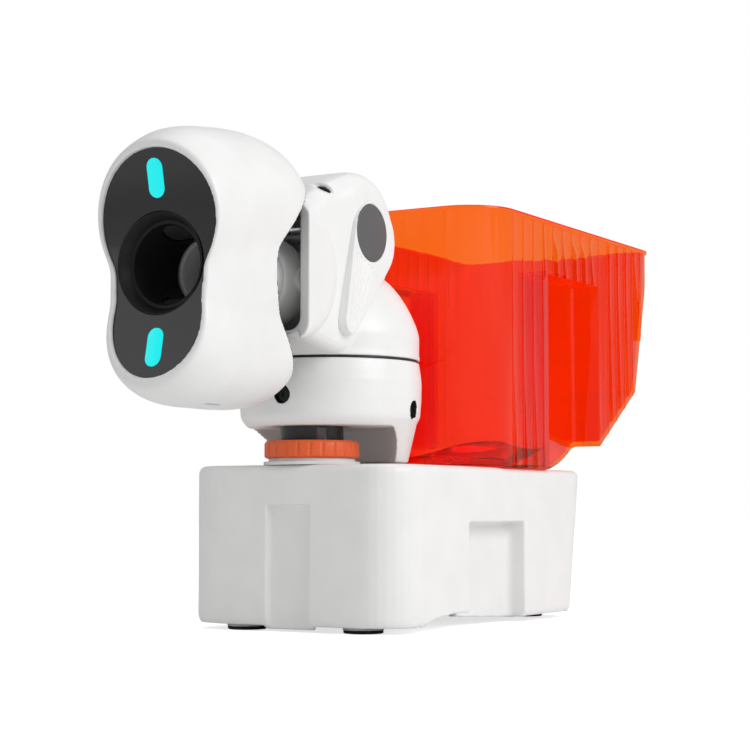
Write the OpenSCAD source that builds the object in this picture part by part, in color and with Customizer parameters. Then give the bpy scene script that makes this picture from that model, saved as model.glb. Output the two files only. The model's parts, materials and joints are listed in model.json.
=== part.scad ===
// Table tennis robot: a free-standing ball feeder whose twin-wheel head swivels, tilts and rolls.
// Millimetres. +Z is up, the nozzle faces -Y, and the origin is on the table under the middle.
// Inside the modules, y is counted from the front face of the base, positive to the rear.

/* [Base] */
// Width of the base housing
base_w = 184; // [178:1:192]
// Length of the base housing at its top
base_l = 320; // [310:1:335]
// Height of the base's top above the table
base_top = 118; // [114:1:126]
// Radius of the base's upright corners
base_corner_r = 32; // [26:1:36]
// Radius along the base's top edge
base_edge_r = 5.5; // [3:0.5:7]
// Radius along the base's bottom edge
base_heel_r = 9; // [5:0.5:11]
// How far the rear wall leans forward at its foot
rear_lean = 19; // [10:1:22]
// Wall of the base housing
base_wall = 3; // [2.4:0.2:3.6]
// Width of the front recess
front_recess_w = 36; // [30:1:44]
// Height of the front recess above the table
front_recess_top = 90; // [80:1:96]
// Depth of the front recess
front_recess_depth = 4.5; // [3:0.5:6]
// Length of each side hand recess
grip_l = 92; // [80:1:96]
// Height of each side hand recess above the table
grip_top = 77; // [68:1:84]
// Depth of each side hand recess
grip_depth = 16; // [12:0.5:18]
// Rise of the arch along each side's foot
arch_rise = 10; // [7:0.5:11]
// Diameter of each rubber foot
foot_d = 29; // [24:1:32]
// Height of each rubber foot
foot_h = 2.5; // [2:0.5:3.5]

/* [Ball path] */
// Diameter of the ball
ball_d = 40; // [39:0.5:41]
// Clearance round the ball in its tubes
ball_gap = 1; // [0.6:0.2:1.2]
// Wall of the feed stem
stem_wall = 1.75; // [1.4:0.05:2]
// Distance of the stem's axis behind the base's front face
stem_y = 32.6; // [30:0.2:34]
// Number of pockets in the feed disc
pocket_count = 5; // [4:1:5]
// Distance of the feed disc's axis behind the base's front face
disc_y = 206; // [202:1:210]

/* [Lock ring] */
// Outer diameter of the orange lock ring
lock_ring_d = 68.6; // [66:0.2:72]
// Height of the lock ring
lock_ring_h = 12.5; // [11:0.5:13.5]
// Number of grip grooves round the lock ring
lock_groove_count = 24; // [18:1:30]

/* [Turret] */
// Largest radius of the turret bowl
bowl_r = 67; // [64:0.5:69]
// Distance of the turret bowl's middle behind the base's front face
bowl_y = 58; // [56:0.5:60]
// Height of the bowl's underside above the table
bowl_floor = 146; // [144:0.5:148]
// Height of the seam between the turret's shells
seam_z = 194; // [190:0.5:198]
// Thickness of the black seam gasket
gasket_t = 1.6; // [1.2:0.1:2]
// Wall of the turret's shells
turret_wall = 3; // [2.4:0.2:3.4]
// Height of the dome above the bowl's widest level
dome_rise = 92; // [86:1:96]
// Radius of the hood behind the head
hood_r = 45; // [43:0.5:47]
// Half width of the hood
hood_half_w = 45; // [44:0.5:47]
// Distance of the hood's axis behind the base's front face
hood_y = 30; // [28:0.5:32]
// Height of the hood's axis above the table
hood_z = 283; // [280:0.5:286]
// Radius of the cheek lobes
cheek_r = 48.2; // [46:0.2:50]
// Half width over the cheek lobes
cheek_half_w = 50; // [49:0.5:52]
// Radius of the ear plates round their badges
ear_r = 28; // [26:0.5:29]
// Half width over the ear plates
ear_half_w = 52; // [51:0.5:54]
// Diameter of the bare badge discs
badge_d = 41; // [38:0.5:43]
// Number of ribs that fan out on each ear
ear_rib_count = 5; // [4:1:6]
// Diameter of the screw ports
port_d = 13.4; // [11:0.2:14]

/* [Tilt] */
// Distance of the tilt axis in front of the base's front face
tilt_reach = 30; // [28:0.5:32]
// Height of the tilt axis above the table
tilt_z = 244; // [242:0.5:246]
// Radius of the tilting ball
tilt_ball_r = 32; // [31:0.5:33.5]
// Diameter of the trunnion pins
trunnion_d = 12; // [10:0.5:14]
// Outer diameter of the sleeve that carries the head
sleeve_d = 52; // [50:0.5:54]

/* [Head] */
// Reach of the face plate's middle in front of the base's front face
face_reach = 150.5; // [147:0.5:153]
// Radius of the head's upper lobe
lobe_top_r = 50; // [48:0.5:51]
// Height of the upper lobe's middle above the tilt axis
lobe_top_z = 35; // [33:0.5:37]
// Radius of the head's lower lobe
lobe_low_r = 42.5; // [41:0.5:44]
// Depth of the lower lobe's middle below the tilt axis
lobe_low_z = 47.5; // [45:0.5:49]
// Half width of the head's waist
waist_half_w = 42.4; // [41:0.1:44]
// Wall of the head shell
head_wall = 3; // [2.4:0.2:3.4]
// Radius of the hollow that the head's back wraps round the turret
hollow_r = 81; // [79:0.5:83]
// Radius of the face plate's concave side view
face_curve_r = 275; // [240:5:320]
// Width of the white rim round the face plate
rim_w = 2.4; // [2:0.1:3.2]
// Outer diameter of the nozzle ring
nozzle_d = 66; // [62:0.5:68]
// Inner diameter of the nozzle ring
nozzle_bore = 56; // [52:0.5:58]
// Width of each light
light_w = 12; // [11:0.5:14]
// Length of each light
light_l = 25; // [23:0.5:28]
// Distance of each light's middle from the nozzle's axis
light_z = 54.5; // [53:0.5:57]
// Diameter of each throwing wheel over its tyre
wheel_d = 60; // [58:0.5:61]
// Width of each throwing wheel
wheel_w = 24; // [20:0.5:26]
// Squeeze of the ball between the two wheels
ball_squeeze = 1; // [0.6:0.2:1.6]

/* [Hopper] */
// Width of the hopper at its rim
hopper_w = 187.6; // [182:0.2:194]
// Distance of the hopper's front wall behind the base's front face
hopper_front = 133; // [130:0.5:136]
// Distance of the hopper's rear rim behind the base's front face
hopper_rear = 454.5; // [440:0.5:466]
// Height of the hopper's rim above the table
hopper_rim_z = 317; // [305:1:330]
// Wall of the hopper
hopper_wall = 2.4; // [2:0.1:3]
// Radius of the hopper's front corners
hopper_corner_r = 37; // [30:1:40]
// Spacing of the hopper's upright ribs
hopper_rib_pitch = 18.3; // [16:0.1:22]
// Depth of the hopper's side recesses
bay_depth = 27; // [22:0.5:28]
// Height of the side recesses' top above the table
bay_top = 274; // [260:1:280]

/* [Hidden] */
$fn = 48;
eps = 0.01;
seat_gap = 0.2;
run_gap = 0.05;

// Colours of the finishes
white = "white";
shade_white = "gainsboro";
black = [0.1, 0.1, 0.11];
orange = [0.85, 0.33, 0.1];
hopper_red = [0.95, 0.25, 0.1, 0.6];
cyan = [0, 0.95, 0.95];
steel = "silver";
badge_grey = [0.38, 0.38, 0.38];

// Ball path
tube_r = ball_d / 2 + ball_gap;
stem_r = tube_r + stem_wall;
floor_z = foot_h + arch_rise + 1;
floor_t = 3;
motor_h = 21;
bowl_base_z = floor_z + floor_t + motor_h;
bowl_t = 3;
ball_z = bowl_base_z + bowl_t + tube_r;
elbow_bend = base_top - base_wall - 7 - ball_z;
stem_foot_z = ball_z + elbow_bend;
pocket_orbit = 38;
pocket_r = ball_d / 2 + 1.5;
disc_r = pocket_orbit + 18;
feed_bowl_r = pocket_orbit + ball_d / 2 + 2;
feed_angle = asin(pocket_orbit / (disc_y - stem_y));
feed_run = sqrt(pow(disc_y - stem_y, 2) - pow(pocket_orbit, 2));
mouth_r = feed_bowl_r - 2;

// Lock ring and stem
flange_z = base_top + 0.1;
flange_t = 4.8;
ring_z = flange_z + flange_t + 0.1;
ring_top = ring_z + lock_ring_h;

// Turret
bowl_wall_z = bowl_floor + turret_wall;
stem_top_z = tilt_z - 46;
duct_bend = tilt_z - stem_top_z;
leg_foot_z = base_top + 3;
leg_foot_y = bowl_y + 20;
leg_foot_r = 47;
leg_clear_r = 61;
cheek_y = -tilt_reach - 24;
cheek_z = tilt_z + 5;
cheek_front = -tilt_reach - 20;
arm_inner = 41;
fork_gap = 24;
ear_y = hood_y + 3;
ear_z = hood_z - 3;
ear_tip_y = 3;
ear_tip_z = 213;
ear_tip_r = 6;

// Tilt and head, measured along y from the front face of the base
tilt_y = -tilt_reach;
face_y = -face_reach;
hollow_y = tilt_y + 19.5;
plate_t = 2.5;
rim_proud = 2.5;
wheel_y = face_y + wheel_d / 2;
wheel_z = (ball_d - ball_squeeze + wheel_d) / 2;
plate_top_r = lobe_top_r - 4.6;
plate_top_z = lobe_top_z - 7;
plate_low_r = lobe_low_r - 7;
plate_low_z = lobe_low_z - 8.7;
plate_waist = waist_half_w - 7.4;
swell_depth = 34;
flatten_depth = 60;
front_most = face_y - rim_proud
    - (1 + rim_proud / flatten_depth) * pow(plate_top_z + plate_top_r + rim_w - 0.8, 2) / (2 * face_curve_r);
y_shift = -(front_most + hopper_rear) / 2;

// Gears
gear_module = 1.25;
gear_play = 0.3;
gear_t = 5;
yaw_gear_teeth = 48;
tilt_gear_teeth = 48;
roll_gear_teeth = 50;
drive_teeth = 16;
roll_drive_teeth = 12;
yaw_gear_z = bowl_wall_z + 4;
yaw_drive_y = stem_y + gear_module * (yaw_gear_teeth + drive_teeth) / 2;
tilt_gear_x = -39;
tilt_drive_angle = 60;
roll_gear_y = hollow_y - 64.5;

// Shapes used by several pieces
module place() translate([0, y_shift, 0]) children();

module x_rod(r, x0, x1, y, z) translate([x0, y, z]) rotate([0, 90, 0]) cylinder(r = r, h = x1 - x0);

module y_rod(r, y0, y1, x, z) translate([x, y0, z]) rotate([-90, 0, 0]) cylinder(r = r, h = y1 - y0);

module rounded_rect(w, y0, y1, r_front, r_rear) {
    half = w / 2;
    translate([-half, y0 + r_front]) square([w, y1 - y0 - r_front - r_rear]);
    if (r_front > 0) {
        for (side = [-1, 1]) translate([side * (half - r_front), y0 + r_front]) circle(r = r_front);
        translate([-half + r_front, y0]) square([w - 2 * r_front, r_front + eps]);
    }
    if (r_rear > 0) {
        for (side = [-1, 1]) translate([side * (half - r_rear), y1 - r_rear]) circle(r = r_rear);
        translate([-half + r_rear, y1 - r_rear - eps]) square([w - 2 * r_rear, r_rear + eps]);
    }
}

// Solid through a stack of rings with equal point counts
module loft(rings) {
    n = len(rings[0]);
    last = len(rings) - 1;
    side = [for (k = [0:last - 1], i = [0:n - 1]) let (a = k * n + i, b = k * n + (i + 1) % n)
        each [[a, b, b + n], [a, b + n, a + n]]];
    front = [for (i = [1:n - 2]) [0, i + 1, i]];
    rear = [for (i = [1:n - 2]) [last * n, last * n + i, last * n + i + 1]];
    polyhedron(points = [for (ring = rings) each ring], faces = concat(side, front, rear));
}

// Involute gear outline with a tooth centred on the x axis
function roll_off(r, base_r) = let (a = acos(min(1, base_r / r))) tan(a) * 180 / PI - a;
function gear_points(teeth) =
    let (
        pitch_r = teeth * gear_module / 2,
        base_r = pitch_r * cos(20),
        tip_r = pitch_r + gear_module,
        root_r = pitch_r - 1.25 * gear_module,
        half = 90 / teeth - gear_play / 2 / pitch_r * 180 / PI + roll_off(pitch_r, base_r),
        flank = [for (i = [0:3]) let (start = max(base_r, root_r)) start + (tip_r - start) * i / 3]
    )
    [for (i = [0:teeth - 1]) let (mid = 360 * i / teeth) each concat(
        [[root_r * cos(mid - half - 0.4), root_r * sin(mid - half - 0.4)]],
        [for (j = [0:3]) let (a = mid - half + roll_off(flank[j], base_r)) flank[j] * [cos(a), sin(a)]],
        [for (j = [3:-1:0]) let (a = mid + half - roll_off(flank[j], base_r)) flank[j] * [cos(a), sin(a)]],
        [[root_r * cos(mid + half + 0.4), root_r * sin(mid + half + 0.4)]]
    )];
module gear(teeth, bore) linear_extrude(gear_t) difference() {
    polygon(gear_points(teeth));
    if (bore > 0) circle(r = bore);
}
// Turn that puts a tooth gap of the driven gear opposite a tooth that points along the angle
function gap_turn(angle, teeth) = angle + 180 - 180 / teeth;

// Base housing
function rear_at(z) = base_l - rear_lean * (base_top - z) / (base_top - foot_h);
// Plan of the base at a height, drawn inward by the inset, with round corners
function base_ring(z, inset, rear, n) = [for (c = [0:3], i = [0:n]) let (
    a = -90 * c - 90 * i / n,
    r = base_corner_r - inset,
    x = (c == 0 || c == 3 ? 1 : -1) * (base_w / 2 - base_corner_r),
    y = c < 2 ? base_corner_r : rear - base_corner_r
) [x + r * cos(a), y + r * sin(a), z]];
module base_block() {
    steps = 5;
    loft(concat(
        [for (i = [0:steps]) let (a = 90 * i / steps - 90, z = foot_h + base_heel_r * (1 + sin(a)))
            base_ring(z, base_heel_r * (1 - cos(a)), rear_at(z), 8)],
        [for (i = [0:steps]) let (a = 90 * i / steps, z = base_top - base_edge_r * (1 - sin(a)))
            base_ring(z, base_edge_r * (1 - cos(a)), rear_at(z), 8)]));
}
module base_hollow() loft([for (z = [foot_h - 1, base_top - base_wall])
    base_ring(z, base_wall, rear_at(z), 12)]);
grip_y = 103;
front_recess_r = 4;
grip_r = 6;
module front_recess(grow) linear_extrude(front_recess_top + grow)
    rounded_rect(front_recess_w + 2 * grow, -1, front_recess_depth + grow, 0, front_recess_r);
module side_grip(side, grow) translate([0, grip_y + grip_l / 2, 0]) rotate([0, 0, -90 * side])
    linear_extrude(grip_top + grow)
        rounded_rect(grip_l + 2 * grow, base_w / 2 - grip_depth - grow, base_w / 2 + 1, grip_r, 0);
module side_arch() {
    arch = [[34, -1], [36, 0.25], [40, 0.5], [50, 0.72], [64, 0.9], [82, 1], [104, 0.96], [140, 0.76],
            [180, 0.42], [214, 0.12], [234, -1]];
    for (side = [-1, 1]) translate([side * base_w / 2, 0, foot_h]) rotate([90, 0, 90])
        linear_extrude(2 * (base_wall + 8), center = true)
            polygon([for (p = arch) [p[0], p[1] < 0 ? -1 : p[1] * arch_rise]]);
}
socket_x = 30;
button_x = -30;
panel_z = 84;
button_r = 8;
button_depth = 14;
module base_shell() color(white) difference() {
    union() {
        difference() {
            base_block();
            difference() {
                base_hollow();
                front_recess(base_wall);
                for (side = [-1, 1]) side_grip(side, base_wall);
            }
        }
        translate([0, disc_y, base_top - eps]) cylinder(r = mouth_r + 3, h = 2.4);
        y_rod(button_r + 3, rear_at(panel_z) - button_depth, rear_at(panel_z) - 1.5, button_x, panel_z);
        y_rod(10, rear_at(panel_z) - button_depth, rear_at(panel_z) - 1.5, socket_x, panel_z);
        for (p = screw_places) translate([p[0], p[1], floor_z + floor_t + seat_gap])
            cylinder(r = 4.5, h = base_top - base_wall - floor_z - floor_t);
    }
    front_recess(0);
    for (side = [-1, 1]) side_grip(side, 0);
    side_arch();
    translate([0, stem_y, base_top - 20]) cylinder(r = stem_r + 0.1, h = 40);
    translate([0, disc_y, base_top - 20]) cylinder(r = mouth_r, h = 40);
    y_rod(button_r + run_gap, rear_at(panel_z) - 30, base_l + 10, button_x, panel_z);
    y_rod(7.1, rear_at(panel_z) - 30, base_l + 10, socket_x, panel_z);
    for (p = screw_places) translate([p[0], p[1], floor_z]) cylinder(r = 1.6, h = 22);
}
screw_places = [[-72, 36], [72, 36], [-72, 262], [72, 262]];
foot_places = [[-49, 23], [49, 23], [-52, 276], [52, 276]];
foot_stem_r = 2;
floor_edge = base_wall + seat_gap;
module base_floor() color(shade_white) difference() {
    union() {
        for (p = foot_places) translate([p[0], p[1], foot_h]) cylinder(r = foot_d / 2, h = floor_z - foot_h + eps);
        translate([0, 0, floor_z]) linear_extrude(floor_t) difference() {
            rounded_rect(base_w - 2 * floor_edge, floor_edge, base_l - rear_lean - floor_edge,
                base_corner_r - base_wall, base_corner_r - base_wall);
            translate([-front_recess_w / 2 - floor_edge, 0])
                square([front_recess_w + 2 * floor_edge, front_recess_depth + floor_edge]);
            for (side = [-1, 1]) translate([side * (base_w / 2) - grip_depth - floor_edge, grip_y - floor_edge])
                square([2 * (grip_depth + floor_edge), grip_l + 2 * floor_edge]);
        }
    }
    for (p = screw_places) translate([p[0], p[1], floor_z - 1]) {
        cylinder(r = 1.8, h = 10);
        cylinder(r1 = 4.4, r2 = 1.8, h = 3);
    }
    for (p = foot_places) translate([p[0], p[1], foot_h - 1]) cylinder(r = foot_stem_r + 0.1, h = 7);
}
module foot(i) color(black) translate([foot_places[i][0], foot_places[i][1], 0]) {
    rotate_extrude() polygon([[0, 0], [foot_d / 2 - 1.2, 0], [foot_d / 2 - 0.4, 0.5], [foot_d / 2 - 0.4, foot_h],
        [foot_stem_r, foot_h], [foot_stem_r, foot_h + 5], [0, foot_h + 5]]);
}
module floor_screws() color(steel) for (p = screw_places) translate([p[0], p[1], floor_z + 0.2]) {
    difference() {
        union() {
            cylinder(r1 = 3.2, r2 = 1.5, h = 2);
            cylinder(r = 1.5, h = 16);
        }
        for (turn = [0, 90]) rotate([0, 0, turn]) translate([-1.8, -0.3, -1]) cube([3.6, 0.6, 2]);
    }
}

// Pieces inside the base
deck_z = floor_z + floor_t;
module battery_pack() color("royalblue") {
    for (row = [0:2]) translate([-62 + 19 * row, 44, deck_z + 9.4]) rotate([-90, 0, 0]) cylinder(r = 9.2, h = 65);
    translate([-72, 60, deck_z + 0.1]) cube([58, 30, 6]);
}
board_x = 24;
module control_board() color("seagreen") translate([board_x, 34, deck_z + 4]) {
    cube([42, 62, 1.6]);
    for (x = [4, 38], y = [4, 58]) translate([x, y, -3.9]) cylinder(r = 2.5, h = 4);
    translate([8, 12, 1.5]) cube([14, 14, 2.5]);
    translate([27, 8, 1.5]) cube([10, 12, 9]);
    for (y = [34, 46]) translate([10, y, 1.5]) cylinder(r = 4, h = 12);
    translate([24, 32, 1.5]) cube([12, 22, 5]);
}
module feed_motor() color(steel) translate([0, disc_y, deck_z + 0.1]) difference() {
    union() {
        cylinder(r = 24, h = 9);
        for (turn = [45:90:359]) rotate([0, 0, turn]) translate([24, 0, 0]) cylinder(r = 4, h = 3);
        translate([0, 0, 9 - eps]) cylinder(r = 19, h = motor_h - 9 - 0.2);
    }
    translate([0, 0, motor_h - 12]) cylinder(r = shaft_r + run_gap, h = 20);
}
module feed_line(r, start, run) translate([0, stem_y, ball_z]) rotate([0, 0, -feed_angle])
    translate([0, start, 0]) rotate([-90, 0, 0]) cylinder(r = r, h = run);
module feed_bowl() color(shade_white) difference() {
    union() {
        translate([0, disc_y, bowl_base_z]) cylinder(r = feed_bowl_r + bowl_t, h = base_top - base_wall - bowl_base_z - 0.2);
        feed_line(tube_r + 2, elbow_bend + 0.2, feed_run - elbow_bend - 10);
    }
    translate([0, disc_y, bowl_base_z + bowl_t]) cylinder(r = feed_bowl_r, h = 90);
    translate([0, disc_y, bowl_base_z - 1]) cylinder(r = 5.5, h = 10);
    feed_line(tube_r, elbow_bend, feed_run - elbow_bend + 4);
}
module feed_elbow() color(shade_white) translate([0, stem_y, ball_z]) rotate([0, 0, -feed_angle])
    translate([0, elbow_bend, elbow_bend]) rotate([-90, 0, -90]) rotate_extrude(angle = 90, $fn = 96)
        translate([elbow_bend, 0]) difference() {
            circle(r = tube_r + 2);
            circle(r = tube_r);
        }
module feed_stem() color(black) translate([0, stem_y, 0]) difference() {
    translate([0, 0, stem_foot_z + 0.1]) cylinder(r = stem_r, h = stem_top_z - stem_foot_z - 0.3);
    translate([0, 0, stem_foot_z - 1]) cylinder(r = tube_r, h = stem_top_z);
    rotate([0, 0, stripe_turn]) translate([-stripe_w / 2, -stem_r - 1, ring_top - 2])
        cube([stripe_w, 1 + stripe_t, bowl_floor - ring_top + 1]);
}
stripe_w = 8;
stripe_t = 0.9;
stripe_turn = 50;
module stem_stripe() color("dimgray") translate([0, stem_y, ring_top - 1.8]) intersection() {
    cylinder(r = stem_r - 0.05, h = bowl_floor - ring_top + 0.5);
    rotate([0, 0, stripe_turn]) translate([-stripe_w / 2 + 0.1, -stem_r - 1, -1])
        cube([stripe_w - 0.2, stripe_t + 0.95, 60]);
}
module stem_flange() color(shade_white) translate([0, stem_y, flange_z]) difference() {
    union() {
        cylinder(r = lock_ring_d / 2 + 0.6, h = 2.4);
        cylinder(r = lock_ring_d / 2 - 3, h = flange_t);
    }
    translate([0, 0, -1]) cylinder(r = stem_r + 0.1, h = 20);
}
module yaw_gear_node() color("tan") translate([0, stem_y, yaw_gear_z])
    rotate([0, 0, 90]) gear(yaw_gear_teeth, stem_r + run_gap);
module charge_socket() color(black) difference() {
    union() {
        y_rod(7, rear_at(panel_z) - button_depth, rear_at(panel_z) - 0.5, socket_x, panel_z);
        translate([socket_x - 5, rear_at(panel_z) - button_depth - 4, panel_z - 5]) cube([10, 4.5, 10]);
    }
    difference() {
        y_rod(3.2, rear_at(panel_z) - 11, base_l, socket_x, panel_z);
        y_rod(1, rear_at(panel_z) - 12, rear_at(panel_z) - 2, socket_x, panel_z);
    }
}
module power_button() color(orange) {
    y_rod(button_r, rear_at(panel_z) - 9, rear_at(panel_z) + 1.2, button_x, panel_z);
    y_rod(button_r - 1.2, rear_at(panel_z) + 1.1, rear_at(panel_z) + 2, button_x, panel_z);
    y_rod(3, rear_at(panel_z) - button_depth + 2, rear_at(panel_z) - 8.9, button_x, panel_z);
}

// Lock ring
module lock_ring() color(orange) translate([0, stem_y, ring_z]) difference() {
    r = lock_ring_d / 2;
    rotate_extrude($fn = 96) polygon([[stem_r + 0.15, 0], [r - 1.5, 0], [r, 1.2], [r, lock_ring_h - 1.8],
        [r - 1.6, lock_ring_h], [stem_r + 0.15, lock_ring_h]]);
    for (i = [0:lock_groove_count - 1]) rotate([0, 0, 360 * i / lock_groove_count])
        translate([r + 0.5, 0, -1]) cylinder(r = 1.1, h = lock_ring_h + 2, $fn = 16);
}

// Feed disc
shaft_r = 4;
module feed_disc() color(orange) translate([0, disc_y, bowl_base_z + bowl_t + 0.5]) difference() {
    union() {
        translate([0, 0, -bowl_t - 10]) cylinder(r = shaft_r, h = bowl_t + 12);
        cylinder(r = disc_r, h = 22);
        translate([0, 0, 21.9]) cylinder(r1 = 22, r2 = 9, h = 14);
    }
    for (i = [0:pocket_count - 1]) rotate([0, 0, 360 * i / pocket_count + 18]) translate([pocket_orbit, 0, -1])
        cylinder(r = pocket_r, h = 60);
    difference() {
        translate([0, 0, -1]) cylinder(r = 13, h = 12);
        translate([0, 0, -2]) cylinder(r = 8, h = 20);
    }
}

// Hopper
hopper_base_z = base_top + 0.3;
rim_lip = 1.6;
rib_proud = 0.5;
bay_front = 239;
bay_rear = 340;
module hopper_plan(inset) rounded_rect(hopper_w - 2 * rim_lip - 2 * inset, hopper_front + rim_lip + inset,
    hopper_rear - rim_lip - inset, hopper_corner_r - inset, 12 - inset);
function sweep_points(from, to, sag, n) = [for (i = [0:n]) let (
    t = i / n,
    span = to - from,
    side = [-span[1], span[0]] / norm(span)
) from + span * t + side * sag * 4 * t * (1 - t)];
module hopper_side(top_extra, inset) rotate([90, 0, 90]) linear_extrude(hopper_w + 20, center = true)
    offset(delta = -inset) polygon(concat(
        [[hopper_front - 20, hopper_rim_z + top_extra + inset], [hopper_front - 20, hopper_base_z]],
        sweep_points([base_l - 38, hopper_base_z], [base_l + 20, hopper_base_z + 21], -4, 6),
        [[base_l + 98, hopper_base_z + 71], [hopper_rear - rim_lip - 2, hopper_rim_z - 4],
        [hopper_rear, hopper_rim_z - 2], [hopper_rear, hopper_rim_z + top_extra + inset]]));
module hopper_bays(grow) for (side = [-1, 1]) translate([0, (bay_front + bay_rear) / 2, base_top - 10])
    rotate([0, 0, -90 * side]) linear_extrude(bay_top - base_top + 10 + grow) rounded_rect(
        bay_rear - bay_front + 2 * grow, hopper_w / 2 - bay_depth - grow, hopper_w / 2 + 10, 4, 0);
module hopper() color(hopper_red) difference() {
    intersection() {
        union() {
            translate([0, 0, base_top]) linear_extrude(hopper_rim_z - base_top) hopper_plan(0);
            translate([0, 0, hopper_rim_z - 3]) linear_extrude(3) hopper_plan(-rim_lip);
            for (i = [0:14]) translate([0, hopper_front + hopper_corner_r + 4 + i * hopper_rib_pitch, base_top])
                translate([-hopper_w / 2 + rim_lip - rib_proud, 0, 0])
                    cube([hopper_w - 2 * (rim_lip - rib_proud), 1.2, hopper_rim_z - base_top - 1]);
            for (i = [-3:3]) translate([i * hopper_rib_pitch - 0.6, hopper_front + rim_lip - rib_proud, base_top])
                cube([1.2, 3, hopper_rim_z - base_top - 1]);
        }
        hopper_side(0, 0);
    }
    difference() {
        intersection() {
            translate([0, 0, base_top]) linear_extrude(hopper_rim_z) hopper_plan(hopper_wall);
            hopper_side(20, hopper_wall);
        }
        hopper_bays(hopper_wall);
    }
    hopper_bays(0);
    translate([0, disc_y, base_top - 5]) cylinder(r = mouth_r + 3.4, h = 20);
}
ramp_h = 26;
ramp_reach = 72;
module hopper_ramp() color(hopper_red) difference() {
    intersection() {
        translate([0, 0, hopper_base_z + hopper_wall + 0.1]) linear_extrude(ramp_h) difference() {
            hopper_plan(hopper_wall + seat_gap);
            translate([-hopper_w, disc_y + ramp_reach]) square([2 * hopper_w, hopper_rear]);
        }
        hopper_side(20, hopper_wall + seat_gap);
    }
    hopper_bays(hopper_wall + seat_gap);
    translate([0, disc_y, hopper_base_z + hopper_wall - 0.9]) cylinder(r1 = mouth_r, r2 = mouth_r + 64, h = ramp_h + 2);
}

// Turret
module turned(points, y) translate([0, y, 0]) rotate_extrude($fn = 96) polygon(points);
function fillet(cx, cz, r, from, to, n) = [for (i = [0:n]) let (a = from + (to - from) * i / n)
    [cx + r * cos(a), cz + r * sin(a)]];
bowl_top_z = seam_z - gasket_t / 2;
dome_foot_z = seam_z + gasket_t / 2;
widest_z = seam_z - 16;
function bowl_profile(inset, top) = concat([[0, bowl_floor + inset]],
    fillet(bowl_r - 11, bowl_floor + 10, 10 - inset, -90, 0, 6),
    [[bowl_r - 0.2 - inset, bowl_floor + 20], [bowl_r - inset, widest_z], [bowl_r - 0.8 - inset, widest_z + 8],
    [bowl_r - 2 - inset, bowl_top_z], [bowl_r - 2 - inset, top], [0, top]]);
port_boss = 12;
module port(z, turn, r, start, end) translate([0, bowl_y, z]) rotate([0, 0, turn]) rotate([90, 0, 0])
    translate([0, 0, bowl_r - end]) cylinder(r = r, h = end - start);
port_z = bowl_floor + 21.7;
side_port_z = bowl_floor + 12;
port_turns = [[port_z, 0, 0.2], [side_port_z, 98, 1.2], [side_port_z, -98, 1.2]];
module turret_lower() color(white) difference() {
    union() {
        difference() {
            turned(bowl_profile(0, bowl_top_z), bowl_y);
            turned(bowl_profile(turret_wall, bowl_top_z + 1), bowl_y);
        }
        intersection() {
            for (p = port_turns) port(p[0], p[1], port_d / 2 + 2.5, -1, port_boss);
            turned(bowl_profile(0.5, bowl_top_z), bowl_y);
        }
        difference() {
            hull() {
                translate([0, bowl_y, bowl_floor + 3]) cylinder(r = bowl_r - 3.6, h = 1);
                translate([0, leg_foot_y, leg_foot_z]) cylinder(r = leg_foot_r, h = 1);
            }
            translate([0, stem_y, leg_foot_z - 1]) cylinder(r = leg_clear_r, h = bowl_floor - leg_foot_z + 1);
            translate([0, bowl_y, bowl_floor + 2]) cylinder(r = bowl_r - 11, h = 10);
        }
    }
    for (p = port_turns) {
        port(p[0], p[1], port_d / 2, -5, 7);
        port(p[0], p[1], 2, -5, 30);
    }
    translate([0, stem_y, bowl_floor - 5]) cylinder(r = stem_r + 4.1, h = 30);
}
module port_screws() color(black) for (p = port_turns) {
    difference() {
        port(p[0], p[1], port_d / 2 - 1, 4.5, 6.9);
        port(p[0], p[1], 2.4, 3, 5.6, $fn = 6);
    }
    port(p[0], p[1], 1.9, 6.8, port_boss + 4);
}
module seam_gasket() color(black) translate([0, bowl_y, bowl_top_z + 0.05]) difference() {
    cylinder(r = bowl_r - 2.5, h = gasket_t - 0.1, $fn = 96);
    translate([0, 0, -1]) cylinder(r = bowl_r - 2 - turret_wall, h = 5, $fn = 96);
}
module drum(r, half, edge, y, z) translate([0, y, z]) rotate([0, 90, 0]) rotate_extrude() polygon(concat(
    [[0, -half]], fillet(r - edge, -half + edge, edge, -90, 0, 4), fillet(r - edge, half - edge, edge, 0, 90, 4),
    [[0, half]]));
module neck(inset) hull() {
    drum(hood_r - inset, hood_half_w - inset, 14 - inset, hood_y, hood_z, $fn = 40);
    drum(cheek_r - 5 - inset, hood_half_w - inset, 12 - inset, cheek_y + 2, cheek_z, $fn = 40);
    drum(27 - inset, hood_half_w - inset, 9 - inset, 9, 222, $fn = 32);
}
function dome_points(r, rise) = [for (i = [0:14]) let (
    low = asin((dome_foot_z - widest_z) / rise),
    a = low + (90 - low) * i / 14
) [r * cos(a), widest_z + rise * sin(a)]];
module dome(inset) turned(concat([[0, dome_foot_z - (inset > 0 ? 1 : 0)]],
    inset > 0 ? [[bowl_r - inset, dome_foot_z - 1]] : [], dome_points(bowl_r - inset, dome_rise - inset)), bowl_y);
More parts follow.
